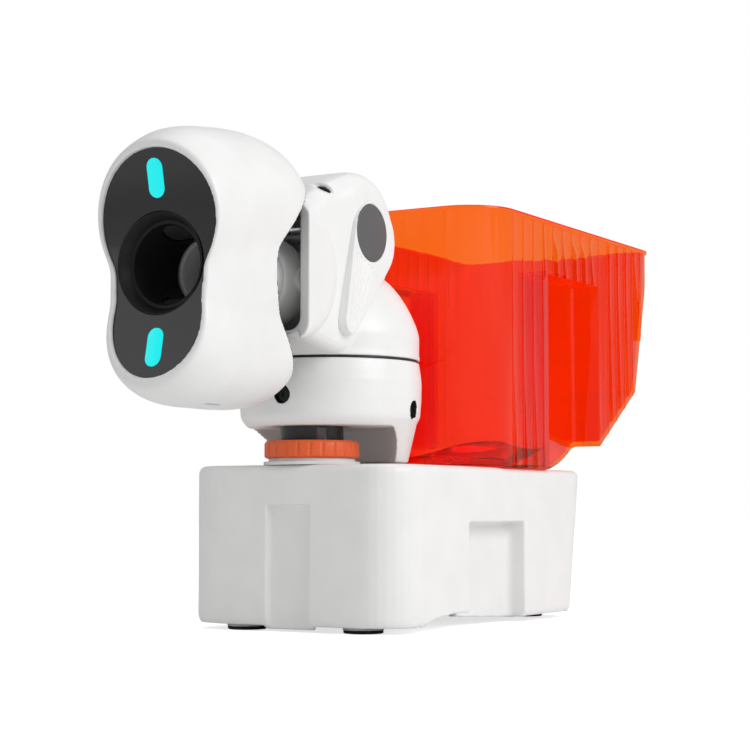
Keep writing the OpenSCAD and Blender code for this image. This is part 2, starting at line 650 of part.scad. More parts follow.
// Room inside the head's rear hollow when the head is tilted
module swept(tilt) translate([0, tilt_y, tilt_z]) rotate([tilt, 0, 0]) translate([0, hollow_y - tilt_y, 0])
    sphere(r = hollow_r - 1, $fn = 120);
module turret_upper() color(white) difference() {
    union() {
        dome(0);
        neck(0);
        difference() {
            drum(cheek_r, cheek_half_w, 12, cheek_y, cheek_z);
            translate([-arm_inner, -200, 0]) cube([2 * arm_inner, 400, 600]);
        }
    }
    for (tilt = [-18, 12]) difference() {
        translate([-60, -110, widest_z + 30]) cube([120, 102, 200]);
        swept(tilt);
    }
    translate([-100, -200, 0]) cube([200, 200 + cheek_front, 600]);
    translate([-fork_gap / 2, cheek_front - 1, tilt_z]) cube([fork_gap, -8 - cheek_front + 1, 200]);
    translate([-100, -200, 0]) cube([200, 400, dome_foot_z]);
    dome(turret_wall);
    neck(turret_wall);
    x_rod(trunnion_d / 2 + run_gap, -cheek_half_w + 3, cheek_half_w - 3, tilt_y, tilt_z);
}

// Ears
function along(c, r, a) = c + r * [cos(a), sin(a)];
module teardrop(c1, r1, c2, r2) {
    way = atan2(c2[1] - c1[1], c2[0] - c1[0]);
    lean = acos((r1 - r2) / norm(c2 - c1));
    translate(c1) circle(r = r1);
    translate(c2) circle(r = r2);
    polygon([along(c1, r1, way + lean), along(c2, r2, way + lean), along(c2, r2, way - lean),
        along(c1, r1, way - lean)]);
}
ear_root = hood_half_w + 0.05;
groove_depth = 0.9;
module ear_outline(inset) teardrop([ear_y, ear_z], ear_r - inset, [ear_tip_y, ear_tip_z], ear_tip_r - inset);
module ear() color(white) rotate([90, 0, 90]) difference() {
    union() {
        translate([0, 0, ear_root]) linear_extrude(ear_half_w - 1.6 - ear_root) ear_outline(0);
        translate([0, 0, ear_half_w - 1.7]) linear_extrude(0.9) ear_outline(0.8);
        translate([0, 0, ear_half_w - 0.9]) linear_extrude(0.9) ear_outline(1.7);
    }
    translate([hood_y, hood_z, ear_half_w - 1.4]) cylinder(r = badge_d / 2 + 0.2, h = 5);
    translate([0, 0, ear_half_w - groove_depth]) linear_extrude(5) intersection() {
        ear_outline(3.2);
        difference() {
            for (i = [0:ear_rib_count - 1]) {
                a = 57 + 22 * (i + 0.5 - ear_rib_count / 2) / ear_rib_count * 1.5;
                tip = [ear_tip_y - 1, ear_tip_z - 1];
                polygon([tip, along(tip, 70, a - 1.5), along(tip, 70, a + 1.5)]);
            }
            translate([hood_y, hood_z]) circle(r = badge_d / 2 + 3);
            translate([ear_tip_y, ear_tip_z]) circle(r = ear_tip_r);
        }
    }
}
module badge() color(badge_grey) rotate([90, 0, 90]) translate([hood_y, hood_z, ear_half_w - 1.35])
    rotate_extrude() polygon([[0, 0], [badge_d / 2, 0], [badge_d / 2, 1.1], [badge_d / 2 - 0.5, 1.6], [0, 1.6]]);

// Turret's inner pieces
module stem_bearing() color("tan") translate([0, stem_y, bowl_floor]) difference() {
    union() {
        cylinder(r = stem_r + 4, h = turret_wall + 0.3);
        translate([0, 0, turret_wall + 0.1]) cylinder(r = stem_r + 7, h = 2.4);
    }
    translate([0, 0, -1]) cylinder(r = stem_r + run_gap, h = 20);
}
module ball_elbow() color(shade_white) {
    translate([0, stem_y - duct_bend, stem_top_z]) rotate([90, 0, 90]) rotate_extrude(angle = 90, $fn = 96)
        translate([duct_bend, 0]) difference() {
            circle(r = tube_r + 2);
            circle(r = tube_r);
        }
    translate([0, stem_y, stem_top_z]) difference() {
        intersection() {
            translate([-70, -5, 0.3]) cube([140, 10, 4]);
            translate([0, bowl_y - stem_y, 0]) cylinder(r = dome_inner_r - 0.4, h = 10);
        }
        translate([0, 0, -1]) cylinder(r = tube_r + 1, h = 20);
    }
}
dome_inner_r = (bowl_r - turret_wall) * sqrt(1 - pow((stem_top_z + 4.3 - widest_z) / (dome_rise - turret_wall), 2));
module yaw_motor() color(steel) translate([0, yaw_drive_y, yaw_gear_z + gear_t + 1]) difference() {
    union() {
        cylinder(r = 13, h = 26);
        translate([-22, -5, 0]) cube([44, 10, 3]);
        for (side = [-1, 1]) translate([side * 18, 0, bowl_wall_z + 0.1 - yaw_gear_z - gear_t - 1])
            cylinder(r = 3, h = yaw_gear_z + gear_t + 1.1 - bowl_wall_z);
    }
    translate([0, 0, -1]) cylinder(r = 3 + run_gap, h = 12);
}
module yaw_pinion() color(black) translate([0, yaw_drive_y, yaw_gear_z]) {
    rotate([0, 0, gap_turn(90, drive_teeth)]) gear(drive_teeth, 0);
    translate([0, 0, gear_t - eps]) cylinder(r = 3, h = 10);
}

// Tilt drive
tilt_drive_y = tilt_y + gear_module * (tilt_gear_teeth + drive_teeth) / 2 * cos(tilt_drive_angle);
tilt_drive_z = tilt_z + gear_module * (tilt_gear_teeth + drive_teeth) / 2 * sin(tilt_drive_angle);
module across(x, y, z) translate([x, y, z]) rotate([90, 0, 90]) children();
tilt_motor_end = -13;
module tilt_motor() color(steel) difference() {
    union() {
        x_rod(10, tilt_gear_x + gear_t + 1, tilt_motor_end, tilt_drive_y, tilt_drive_z);
        x_rod(6, tilt_motor_end - 0.1, hood_half_w - turret_wall - 0.2, tilt_drive_y, tilt_drive_z);
    }
    x_rod(3 + run_gap, tilt_gear_x, tilt_gear_x + gear_t + 12, tilt_drive_y, tilt_drive_z);
}
module tilt_pinion() color(black) {
    across(tilt_gear_x, tilt_drive_y, tilt_drive_z) rotate([0, 0, gap_turn(tilt_drive_angle, drive_teeth)])
        gear(drive_teeth, 0);
    x_rod(3, tilt_gear_x + gear_t - eps, tilt_gear_x + gear_t + 10, tilt_drive_y, tilt_drive_z);
}
module tilt_gear() color("tan") across(tilt_gear_x, tilt_y, tilt_z) rotate([0, 0, tilt_drive_angle])
    gear(tilt_gear_teeth, trunnion_d / 2 + run_gap);
ball_front = 16;
ball_rear = 8;
module tilt_ball() color(white) difference() {
    union() {
        translate([0, tilt_y, tilt_z]) rotate([-90, 0, 0]) rotate_extrude($fn = 96) difference() {
            circle(r = tilt_ball_r);
            translate([-100, -50]) square([100 + tube_r - 3, 100]);
            translate([0, -ball_front - 50]) square([100, 50]);
            translate([0, ball_rear]) square([100, 50]);
        }
        x_rod(trunnion_d / 2, -cheek_half_w + 3.3, cheek_half_w - 3.3, tilt_y, tilt_z);
        x_rod(trunnion_d / 2 + 3, tilt_gear_x + gear_t + 0.1, -tilt_gear_x - gear_t, tilt_y, tilt_z);
    }
    y_rod(tube_r, tilt_y - 50, tilt_y + 50, 0, tilt_z);
    translate([0, tilt_y + ball_rear - 5, tilt_z]) rotate([-90, 0, 0]) cylinder(r1 = tube_r, r2 = tube_r + 3, h = 6);
}
sleeve_r = sleeve_d / 2;
sleeve_front = wheel_y + wheel_d / 2 - 7.2;
sleeve_rear = tilt_y - ball_front - 0.1;
flange_y = roll_gear_y + gear_t + 1;
roll_drive_z = tilt_z + gear_module * (roll_gear_teeth + roll_drive_teeth) / 2;
module head_sleeve() color(shade_white) difference() {
    union() {
        y_rod(sleeve_r, sleeve_front, sleeve_rear, 0, tilt_z);
        y_rod(sleeve_r + 5, flange_y, flange_y + 3, 0, tilt_z);
        hull() {
            y_rod(9, flange_y, flange_y + 3, 0, roll_drive_z);
            y_rod(12, flange_y, flange_y + 3, 0, tilt_z + 14);
        }
    }
    y_rod(tube_r, sleeve_front - 5, sleeve_rear + 5, 0, tilt_z);
    y_rod(2.6, flange_y - 5, flange_y + 5, 0, roll_drive_z);
}
module roll_motor() color(steel) difference() {
    y_rod(7.5, flange_y + 3.1, flange_y + 17, 0, roll_drive_z);
    y_rod(2 + run_gap, flange_y, flange_y + 13, 0, roll_drive_z);
}
module roll_pinion() color(black) {
    translate([0, roll_gear_y, roll_drive_z]) rotate([-90, 0, 0]) rotate([0, 0, gap_turn(-90, roll_drive_teeth)])
        gear(roll_drive_teeth, 0);
    y_rod(2, roll_gear_y + gear_t - eps, flange_y + 12, 0, roll_drive_z);
}

// Head
hollow_z = tilt_z;
back_wall_y = hollow_y - hollow_r;
collar_r = sleeve_r + 3.4;
collar_front = back_wall_y + 0.5;
wall_front = hollow_y - sqrt(pow(hollow_r + head_wall, 2) - pow(collar_r, 2));
module head_collar() color(shade_white) difference() {
    union() {
        y_rod(collar_r, collar_front, roll_gear_y + 1, 0, tilt_z);
        y_rod(collar_r + 2.4, collar_front, wall_front - 0.1, 0, tilt_z);
        translate([0, roll_gear_y, tilt_z]) rotate([-90, 0, 0]) rotate([0, 0, -90])
            gear(roll_gear_teeth, sleeve_r + run_gap);
    }
    y_rod(sleeve_r + run_gap, back_wall_y - 20, roll_gear_y + 20, 0, tilt_z);
}
// Distance of the outline from the nozzle's axis at an angle, for two lobes joined by a waist
function to_lobe(a, z, r) = z * sin(a) + sqrt(max(0, r * r - pow(z * cos(a), 2)));
function to_waist(a, w, h) = pow(pow(abs(cos(a)) / w, 4) + pow(abs(sin(a)) / h, 4), -1 / 4);
function lobed(a, top_z, top_r, low_z, low_r, waist) = let (sharp = 16) pow(
    pow(to_lobe(a, top_z, top_r), sharp) + pow(to_lobe(a, -low_z, low_r), sharp)
    + pow(to_waist(a, waist, low_z + 2), sharp), 1 / sharp);
// The head grows from the face plate's outline and its rim to the full outline over swell_depth
function swelled(depth) = let (t = min(1, (depth + rim_proud) / swell_depth)) sqrt(t * (2 - t));
function between(a, b, t) = a + (b - a) * t;
function head_ring(depth, grow, lift, size, n) = let (t = swelled(depth)) [for (i = [0:n - 1]) let (
    a = 360 * i / n,
    r = size * lobed(a, between(plate_top_z, lobe_top_z, t) + lift, between(plate_top_r + rim_w, lobe_top_r, t) + grow,
        between(plate_low_z, lobe_low_z, t), between(plate_low_r + rim_w, lobe_low_r, t) + grow,
        between(plate_waist + rim_w, waist_half_w, t) + grow),
    z = r * sin(a)
) [r * cos(a), face_y + depth - max(0, 1 - depth / flatten_depth) * z * z / (2 * face_curve_r), tilt_z + z]];
back_scale = [[108.5, -2, 0.94], [116.5, -3, 0.87], [121.5, -3, 0.77], [123.5, -3, 0.62]];
function head_rings(inset, n) = concat(
    inset > 0 ? [head_ring(7, -inset, 1, 1, n)] :
        [head_ring(-rim_proud, -0.8, 0, 1, n), head_ring(-1.9, 0, 0, 1, n), head_ring(1.5, 0.2, 0.3, 1, n),
            head_ring(7, 0.5, 1.5, 1, n)],
    [for (s = [[16, 1, 4], [38, 1.5, 8], [60, 1.5, 11], [80, 0.5, 11.5], [96.5, -1, 11.5]])
        head_ring(s[0], s[1] - inset, s[2], s[0] > 90 ? 0.985 : 1, n)],
    [for (s = back_scale) head_ring(s[0] - inset, s[1] - inset, 11, s[2], n)]);
module plate_outline(grow) polygon([for (i = [0:71]) let (a = 5 * i,
    r = lobed(a, plate_top_z, plate_top_r + grow, plate_low_z, plate_low_r + grow, plate_waist + grow))
    r * [cos(a), sin(a)]]);
// Extrusion of a front-view outline along y
module fronted(y0, y1) translate([0, y1, tilt_z]) rotate([90, 0, 0]) linear_extrude(y1 - y0) children();
module face_curve(set_back) x_rod(face_curve_r + set_back, -80, 80, face_y - face_curve_r, tilt_z, $fn = 180);
motor_x = wheel_w / 2 + 2;
motor_end = motor_x + 18;
module hollow(r) translate([0, hollow_y, hollow_z]) sphere(r = r, $fn = 120);
module head_shell() color(white) difference() {
    loft(head_rings(0, 56));
    difference() {
        loft(head_rings(head_wall, 40));
        hollow(hollow_r + head_wall);
        for (up = [-1, 1]) x_rod(9, motor_end + 0.2, 60, wheel_y, tilt_z + up * wheel_z);
    }
    hollow(hollow_r);
    intersection() {
        fronted(face_y - 60, face_y + 30) plate_outline(0.25);
        face_curve(plate_t + 0.1);
    }
    fronted(face_y - 60, face_y + 12) plate_outline(-1.6);
    y_rod(collar_r + 0.1, back_wall_y - 20, 60, 0, tilt_z);
    for (x = [-12:8:12]) translate([x - 1.6, wheel_y + 2, tilt_z - 110]) cube([3.2, 16, 40]);
}
module face_plate() color(black) difference() {
    intersection() {
        fronted(face_y - 60, face_y + 30) plate_outline(0);
        face_curve(plate_t);
    }
    face_curve(0);
    y_rod(nozzle_bore / 2 + 2.4, face_y - 20, face_y + 20, 0, tilt_z);
    for (up = [-1, 1]) fronted(face_y - 60, face_y + 30) pill(up, 0.1);
}
module pill(up, grow) translate([0, up * light_z]) {
    for (end = [-1, 1]) translate([0, end * (light_l - light_w) / 2]) circle(r = light_w / 2 + grow);
    square([light_w + 2 * grow, light_l - light_w], center = true);
}
module light(up) color(cyan) difference() {
    intersection() {
        fronted(face_y - 60, face_y + 30) pill(up, 0);
        face_curve(plate_t + 1);
    }
    face_curve(-0.4);
}
guide_r = nozzle_bore / 2 + 2;
module nozzle_ring() color(black) difference() {
    union() {
        difference() {
            y_rod(nozzle_d / 2, face_y - 2.9, face_y - 0.1, 0, tilt_z);
            difference() {
                y_rod(nozzle_d, face_y - 9, face_y + 9, 0, tilt_z);
                face_curve(-0.1);
            }
        }
        y_rod(guide_r, face_y - 2, sleeve_front - 3, 0, tilt_z);
    }
    translate([0, face_y - 3, tilt_z]) rotate([-90, 0, 0]) cylinder(r1 = nozzle_bore / 2 + 2, r2 = nozzle_bore / 2, h = 4);
    y_rod(nozzle_bore / 2, face_y - 10, face_y + 10, 0, tilt_z);
    translate([0, face_y + 9.9, tilt_z]) rotate([-90, 0, 0]) cylinder(r1 = nozzle_bore / 2, r2 = tube_r + 1, h = 14);
    y_rod(tube_r + 1, face_y + 20, 0, 0, tilt_z);
    for (up = [-1, 1]) x_rod(wheel_d / 2 + 1, -wheel_w / 2 - 1, wheel_w / 2 + 1, wheel_y, tilt_z + up * wheel_z);
    for (up = [-1, 1], side = [0, 1]) mirror([side, 0, 0])
        x_rod(14, motor_x - 1.5, 60, wheel_y, tilt_z + up * wheel_z);
}
module wheel_motor(up) color(steel) difference() {
    union() {
        x_rod(13, motor_x, motor_end - 3, wheel_y, tilt_z + up * wheel_z);
        x_rod(8.5, motor_end - 3.1, motor_end, wheel_y, tilt_z + up * wheel_z);
    }
    x_rod(2.5 + run_gap, motor_x - 1, motor_x + 10, wheel_y, tilt_z + up * wheel_z);
}
module wheel_hub(up) color("dimgray") difference() {
    union() {
        x_rod(wheel_d / 2 - 6, -wheel_w / 2, wheel_w / 2, wheel_y, tilt_z + up * wheel_z);
        x_rod(2.5, wheel_w / 2 - 1, motor_x + 9, wheel_y, tilt_z + up * wheel_z);
        x_rod(6, wheel_w / 2 - 1, wheel_w / 2 + 1.5, wheel_y, tilt_z + up * wheel_z);
    }
    difference() {
        for (end = [-wheel_w / 2 - 1, wheel_w / 2 - 7]) x_rod(wheel_d / 2 - 9, end, end + 8, wheel_y, tilt_z + up * wheel_z);
        x_rod(7, -wheel_w, wheel_w, wheel_y, tilt_z + up * wheel_z);
        for (turn = [0:60:359]) translate([0, wheel_y, tilt_z + up * wheel_z]) rotate([turn, 0, 0])
            translate([-wheel_w, -1.4, 0]) cube([2 * wheel_w, 2.8, wheel_d / 2]);
    }
}
module wheel_tyre(up) color(black) translate([-wheel_w / 2, wheel_y, tilt_z + up * wheel_z]) rotate([0, 90, 0])
    rotate_extrude($fn = 96) {
        edge = wheel_w / 2;
        polygon([[edge_in, 0], [wheel_d / 2 - 1.5, 0], [wheel_d / 2, 2.5], [wheel_d / 2 - 0.8, edge],
            [wheel_d / 2, wheel_w - 2.5], [wheel_d / 2 - 1.5, wheel_w], [edge_in, wheel_w]]);
    }
edge_in = wheel_d / 2 - 5.9;

// The robot, node by node
place() base_shell();
place() base_floor();
place() foot(0);  // foot_front_left
place() foot(1);  // foot_front_right
place() foot(2);  // foot_rear_left
place() foot(3);  // foot_rear_right
place() battery_pack();
place() control_board();
place() feed_motor();
place() feed_bowl();
place() feed_elbow();
place() feed_stem();
place() stem_stripe();
place() stem_flange();
place() yaw_gear_node();  // yaw_gear
place() charge_socket();
place() floor_screws();
place() power_button();
place() lock_ring();
place() feed_disc();
place() hopper();
place() hopper_ramp();
place() turret_lower();
place() seam_gasket();
place() turret_upper();
place() mirror([1, 0, 0]) ear();  // ear_left
place() ear();  // ear_right
place() mirror([1, 0, 0]) badge();  // badge_left
place() badge();  // badge_right
place() port_screws();
place() stem_bearing();
place() ball_elbow();
place() yaw_motor();
place() yaw_pinion();
place() tilt_motor();
place() tilt_pinion();
place() tilt_ball();
place() tilt_gear();
place() head_sleeve();
place() roll_motor();
place() roll_pinion();
place() head_collar();
place() head_shell();
place() face_plate();
place() nozzle_ring();
place() light(1);  // light_upper
place() light(-1);  // light_lower
place() wheel_motor(1);  // wheel_motor_upper
place() wheel_motor(-1);  // wheel_motor_lower
place() wheel_hub(1);  // wheel_hub_upper
place() wheel_tyre(1);  // wheel_tyre_upper
place() wheel_hub(-1);  // wheel_hub_lower
place() wheel_tyre(-1);  // wheel_tyre_lower
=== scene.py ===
"""Table tennis robot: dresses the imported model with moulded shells, finishes, lights and a camera."""

import json
import math

import bmesh
import bpy
import numpy as np
from mathutils import Matrix, Vector


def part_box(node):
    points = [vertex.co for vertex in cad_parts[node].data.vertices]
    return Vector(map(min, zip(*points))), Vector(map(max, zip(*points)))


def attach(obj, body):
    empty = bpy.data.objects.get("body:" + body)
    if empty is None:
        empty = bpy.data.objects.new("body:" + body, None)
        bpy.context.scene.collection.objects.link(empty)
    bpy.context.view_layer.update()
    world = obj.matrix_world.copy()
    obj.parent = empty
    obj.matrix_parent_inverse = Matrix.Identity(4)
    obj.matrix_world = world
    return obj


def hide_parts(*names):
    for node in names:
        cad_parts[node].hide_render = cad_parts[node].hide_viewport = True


bl_info = {
    "name": "Table Tennis Robot",
    "version": (1, 0, 0),
    "blender": (4, 5, 0),
    "location": "View3D > Sidebar > Robot",
    "description": "Builds the finished look of the table tennis robot on its packed frame",
    "category": "Object",
}

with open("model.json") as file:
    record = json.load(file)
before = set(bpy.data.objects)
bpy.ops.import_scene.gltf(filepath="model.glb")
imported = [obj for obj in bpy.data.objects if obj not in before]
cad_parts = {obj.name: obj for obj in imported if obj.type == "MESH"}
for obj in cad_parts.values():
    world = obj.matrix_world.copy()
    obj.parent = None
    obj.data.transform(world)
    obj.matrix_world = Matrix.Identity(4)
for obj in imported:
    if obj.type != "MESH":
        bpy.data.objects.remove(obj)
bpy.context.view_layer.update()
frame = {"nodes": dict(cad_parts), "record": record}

MM = 0.001
NOZZLE_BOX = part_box("nozzle_ring")
NOZZLE_Z = (NOZZLE_BOX[0].z + NOZZLE_BOX[1].z) / 2
WHEEL_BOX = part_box("wheel_hub_upper")
WHEEL_Y = (WHEEL_BOX[0].y + WHEEL_BOX[1].y) / 2
FACE_Y = WHEEL_Y - 0.030


def length(default, name, description):
    """A size in metres that the panel shows."""
    return bpy.props.FloatProperty(
        name=name, description=description, default=default, min=0, unit="LENGTH", precision=4
    )


def colour(default, name, description):
    """A colour that the panel shows."""
    return bpy.props.FloatVectorProperty(
        name=name, description=description, default=default, size=3, subtype="COLOR", min=0, max=1
    )


def amount(default, name, description, high=1):
    """A plain number that the panel shows."""
    return bpy.props.FloatProperty(
        name=name, description=description, default=default, min=0, max=high
    )


class FinishSettings(bpy.types.PropertyGroup):
    """Colours and gloss of the robot's finishes."""

    shell: colour((0.87, 0.87, 0.865), "Shell", "White of the outer shells")
    inner: colour((0.74, 0.74, 0.73), "Inner white", "White of the inner pieces")
    plate: colour((0.008, 0.008, 0.010), "Face plate", "Near black of the glossy face plate")
    black: colour((0.014, 0.014, 0.016), "Black plastic", "Black of the stem, gasket and nozzle")
    # Painted reflection: this grey makes the band down the glossy black stem in place of a lamp's
    # reflection. It is also the wheels' hubs' own grey.
    stripe: colour((0.11, 0.11, 0.115), "Stripe", "Grey of the stem's stripe and the wheels' hubs")
    orange: colour((0.80, 0.115, 0.022), "Orange", "Orange of the lock ring, feed disc and button")
    hopper: colour((0.95, 0.135, 0.006), "Hopper", "What one wall of the hopper lets through")
    light: colour((0.0015, 0.80, 0.81), "Lights", "Cyan of the two lights")
    badge: colour((0.105, 0.105, 0.108), "Badge", "Grey of the bare badge discs")
    rubber: colour((0.018, 0.018, 0.019), "Rubber", "Black of the feet and tyres")
    steel: colour((0.55, 0.55, 0.56), "Steel", "Grey of the motors and screws")
    nylon: colour((0.62, 0.55, 0.40), "Nylon", "Tan of the gears and bearing")
    board: colour((0.015, 0.16, 0.06), "Board", "Green of the control board")
    cells: colour((0.03, 0.09, 0.35), "Cells", "Blue of the battery cells' sleeves")
    shell_roughness: amount(0.34, "Shell roughness", "Roughness of the white shells")
    light_glow: amount(1.0, "Light glow", "How strongly the two lights glow", 5)


class ShellSettings(bpy.types.PropertyGroup):
    """How softly the moulded shells are rounded."""

    base_voxel: length(0.0012, "Base step", "Size of the steps that the base's surface is rebuilt from")
    shell_voxel: length(0.0009, "Shell step", "Size of the steps that the other shells are rebuilt from")
    heel_drop: length(0.0013, "Heel drop", "How far the base's bottom edge comes down over the feet")
    base_rounds: bpy.props.IntProperty(
        name="Base rounding", description="Rounds of smoothing along the base's edges", default=5, min=0
    )
    turret_rounds: bpy.props.IntProperty(
        name="Turret rounding", description="Rounds of smoothing along the turret's edges", default=8, min=0
    )
    head_rounds: bpy.props.IntProperty(
        name="Head rounding", description="Rounds of smoothing along the head's edges", default=4, min=0
    )
    edge: length(0.00035, "Small edge", "Width of the broken edges on the small pieces")


class HeadSettings(bpy.types.PropertyGroup):
    """Outline of the head's two lobes, the same as the frame's."""

    lobe_top_r: length(0.050, "Upper lobe radius", "Radius of the head's upper lobe")
    lobe_top_z: length(0.035, "Upper lobe height", "Height of the upper lobe above the nozzle's axis")
    lobe_low_r: length(0.0425, "Lower lobe radius", "Radius of the head's lower lobe")
    lobe_low_z: length(0.0475, "Lower lobe depth", "Depth of the lower lobe below the nozzle's axis")
    waist: length(0.0424, "Waist", "Half width of the head's waist")
    wall: length(0.003, "Wall", "Wall of the head shell")
    rim: length(0.0024, "Rim", "Width of the white rim round the face plate")
    plate_top_r: length(0.0454, "Plate's upper radius", "Radius of the face plate's upper lobe")
    plate_top_z: length(0.028, "Plate's upper lobe", "Height of the face plate's upper lobe above the axis")
    plate_low_r: length(0.0355, "Plate's lower radius", "Radius of the face plate's lower lobe")
    plate_low_z: length(0.0388, "Plate's lower lobe", "Depth of the face plate's lower lobe below the axis")
    plate_waist: length(0.035, "Plate's waist", "Half width of the face plate's waist")
    swell: length(0.034, "Swell", "Depth over which the head grows from the plate's outline to its full one")
    face_curve: length(0.275, "Face curve", "Radius of the face plate's concave side view")
    hollow_r: length(0.081, "Rear hollow", "Radius of the hollow at the back of the head")
    hollow_y: length(0.140, "Hollow's middle", "Distance of the hollow's middle behind the face")
    plate_t: length(0.0025, "Plate thickness", "Thickness of the face plate")
    collar_r: length(0.0294, "Collar radius", "Radius of the collar that the head turns on")
    nozzle_r: length(0.0338, "Nozzle radius", "Radius of the round opening in the face plate")
    ear_r: length(0.0274, "Ear radius", "Radius of each ear plate round its badge")
    groove_depth: length(0.0011, "Groove depth", "Depth of the grooves that fan down each ear plate")
    grooves: bpy.props.IntProperty(
        name="Grooves", description="Number of grooves down each ear plate", default=5, min=2, max=9
    )
    hood_swell: length(0.0040, "Hood swell", "Guessed swell of the hood's sides under the ears")
    throat_r: length(0.0226, "Throat radius", "Radius of the nozzle where the ball leaves the wheels")


class StageSettings(bpy.types.PropertyGroup):
    """Camera, floor and lamps."""

    camera_x: length(0.7175, "Camera X", "Distance of the camera to the robot's right")
    camera_y: length(1.25042, "Camera Y", "Distance of the camera in front of the robot")
    camera_z: length(0.086, "Camera height", "Height of the camera above the table")
    turn: bpy.props.FloatProperty(
        name="Turn",
        description="Turn of the camera about the upright",
        default=math.radians(30.3),
        subtype="ANGLE",
    )
    pitch: bpy.props.FloatProperty(
        name="Pitch", description="Upward pitch of the camera", default=math.radians(4.15), subtype="ANGLE"
    )
    lens: bpy.props.FloatProperty(
        name="Lens", description="Focal length in millimetres", default=89.28, min=10
    )
    floor: colour((0.93, 0.93, 0.93), "Floor", "Colour of the floor")
    key: amount(30.0, "Key lamp", "Power of the large lamp at the right", 500)
    fill: amount(2.5, "Fill lamp", "Power of the lamp at the left", 500)
    top: amount(8.0, "Top lamp", "Power of the lamp overhead", 500)
    ambient: amount(0.46, "Ambient", "Level of the light from all round", 5)


# Finishes


class Finish:
    """A node material that is filled in step by step."""

    def __init__(self, name):
        self.material = bpy.data.materials.new(name)
        self.material.use_nodes = True
        self.nodes = self.material.node_tree.nodes
        self.links = self.material.node_tree.links
        self.shader = self.nodes["Principled BSDF"]
        self.place = self.nodes.new("ShaderNodeTexCoord").outputs["Object"]

    def set(self, **sockets):
        for name, value in sockets.items():
            self.shader.inputs[name.replace("_", " ")].default_value = value
        return self

    def noise(self, scale, detail=3.0, stretch=None):
        """Noise over the object's own coordinates, stretched along an axis where asked."""
        texture = self.nodes.new("ShaderNodeTexNoise")
        texture.inputs["Scale"].default_value = scale
        texture.inputs["Detail"].default_value = detail
        place = self.place
        if stretch:
            mapping = self.nodes.new("ShaderNodeMapping")
            mapping.inputs["Scale"].default_value = stretch
            self.links.new(place, mapping.inputs["Vector"])
            place = mapping.outputs["Vector"]
        self.links.new(place, texture.inputs["Vector"])
        return texture.outputs["Fac"]

    def between(self, driver, low, high):
        """A value that runs from low to high as the driver goes through its usual middle range."""
        spread = self.nodes.new("ShaderNodeMapRange")
        spread.inputs["From Min"].default_value = 0.3
        spread.inputs["From Max"].default_value = 0.7
        spread.inputs["To Min"].default_value = low
        spread.inputs["To Max"].default_value = high
        self.links.new(driver, spread.inputs["Value"])
        return spread.outputs["Result"]

    def tint(self, driver, dark, pale):
        """Base colour that varies between two close tones."""
        ramp = self.nodes.new("ShaderNodeValToRGB")
        ramp.color_ramp.elements[0].position = 0.3
        ramp.color_ramp.elements[0].color = (*dark, 1)
        ramp.color_ramp.elements[1].position = 0.7
        ramp.color_ramp.elements[1].color = (*pale, 1)
        self.links.new(driver, ramp.inputs["Fac"])
        self.links.new(ramp.outputs["Color"], self.shader.inputs["Base Color"])
        return self

    def rough(self, driver, low, high):
        self.links.new(self.between(driver, low, high), self.shader.inputs["Roughness"])
        return self

    def bump(self, driver, depth, strength=1.0):
        """Raises the surface by up to the depth, in metres, where the driver is high."""
        bump = self.nodes.new("ShaderNodeBump")
        bump.inputs["Distance"].default_value = depth
        bump.inputs["Strength"].default_value = strength
        self.links.new(driver, bump.inputs["Height"])
        self.links.new(bump.outputs["Normal"], self.shader.inputs["Normal"])
        return self


def shade(tone, factor):
    """The tone made darker or lighter by a factor."""
    return tuple(min(1.0, c * factor) for c in tone)


def moulded(name, tone, roughness, grain=0.00002, specular=0.5):
    """Injection-moulded plastic: a fine skin, slight mottling and handling sheen."""
    f = Finish(name)
    f.set(Specular_IOR_Level=specular)
    f.tint(f.noise(35, 2), shade(tone, 0.975), shade(tone, 1.015))
    f.rough(f.noise(60, 4), roughness * 0.88, roughness * 1.14)
    f.bump(f.noise(1500, 2), grain)
    return f.material


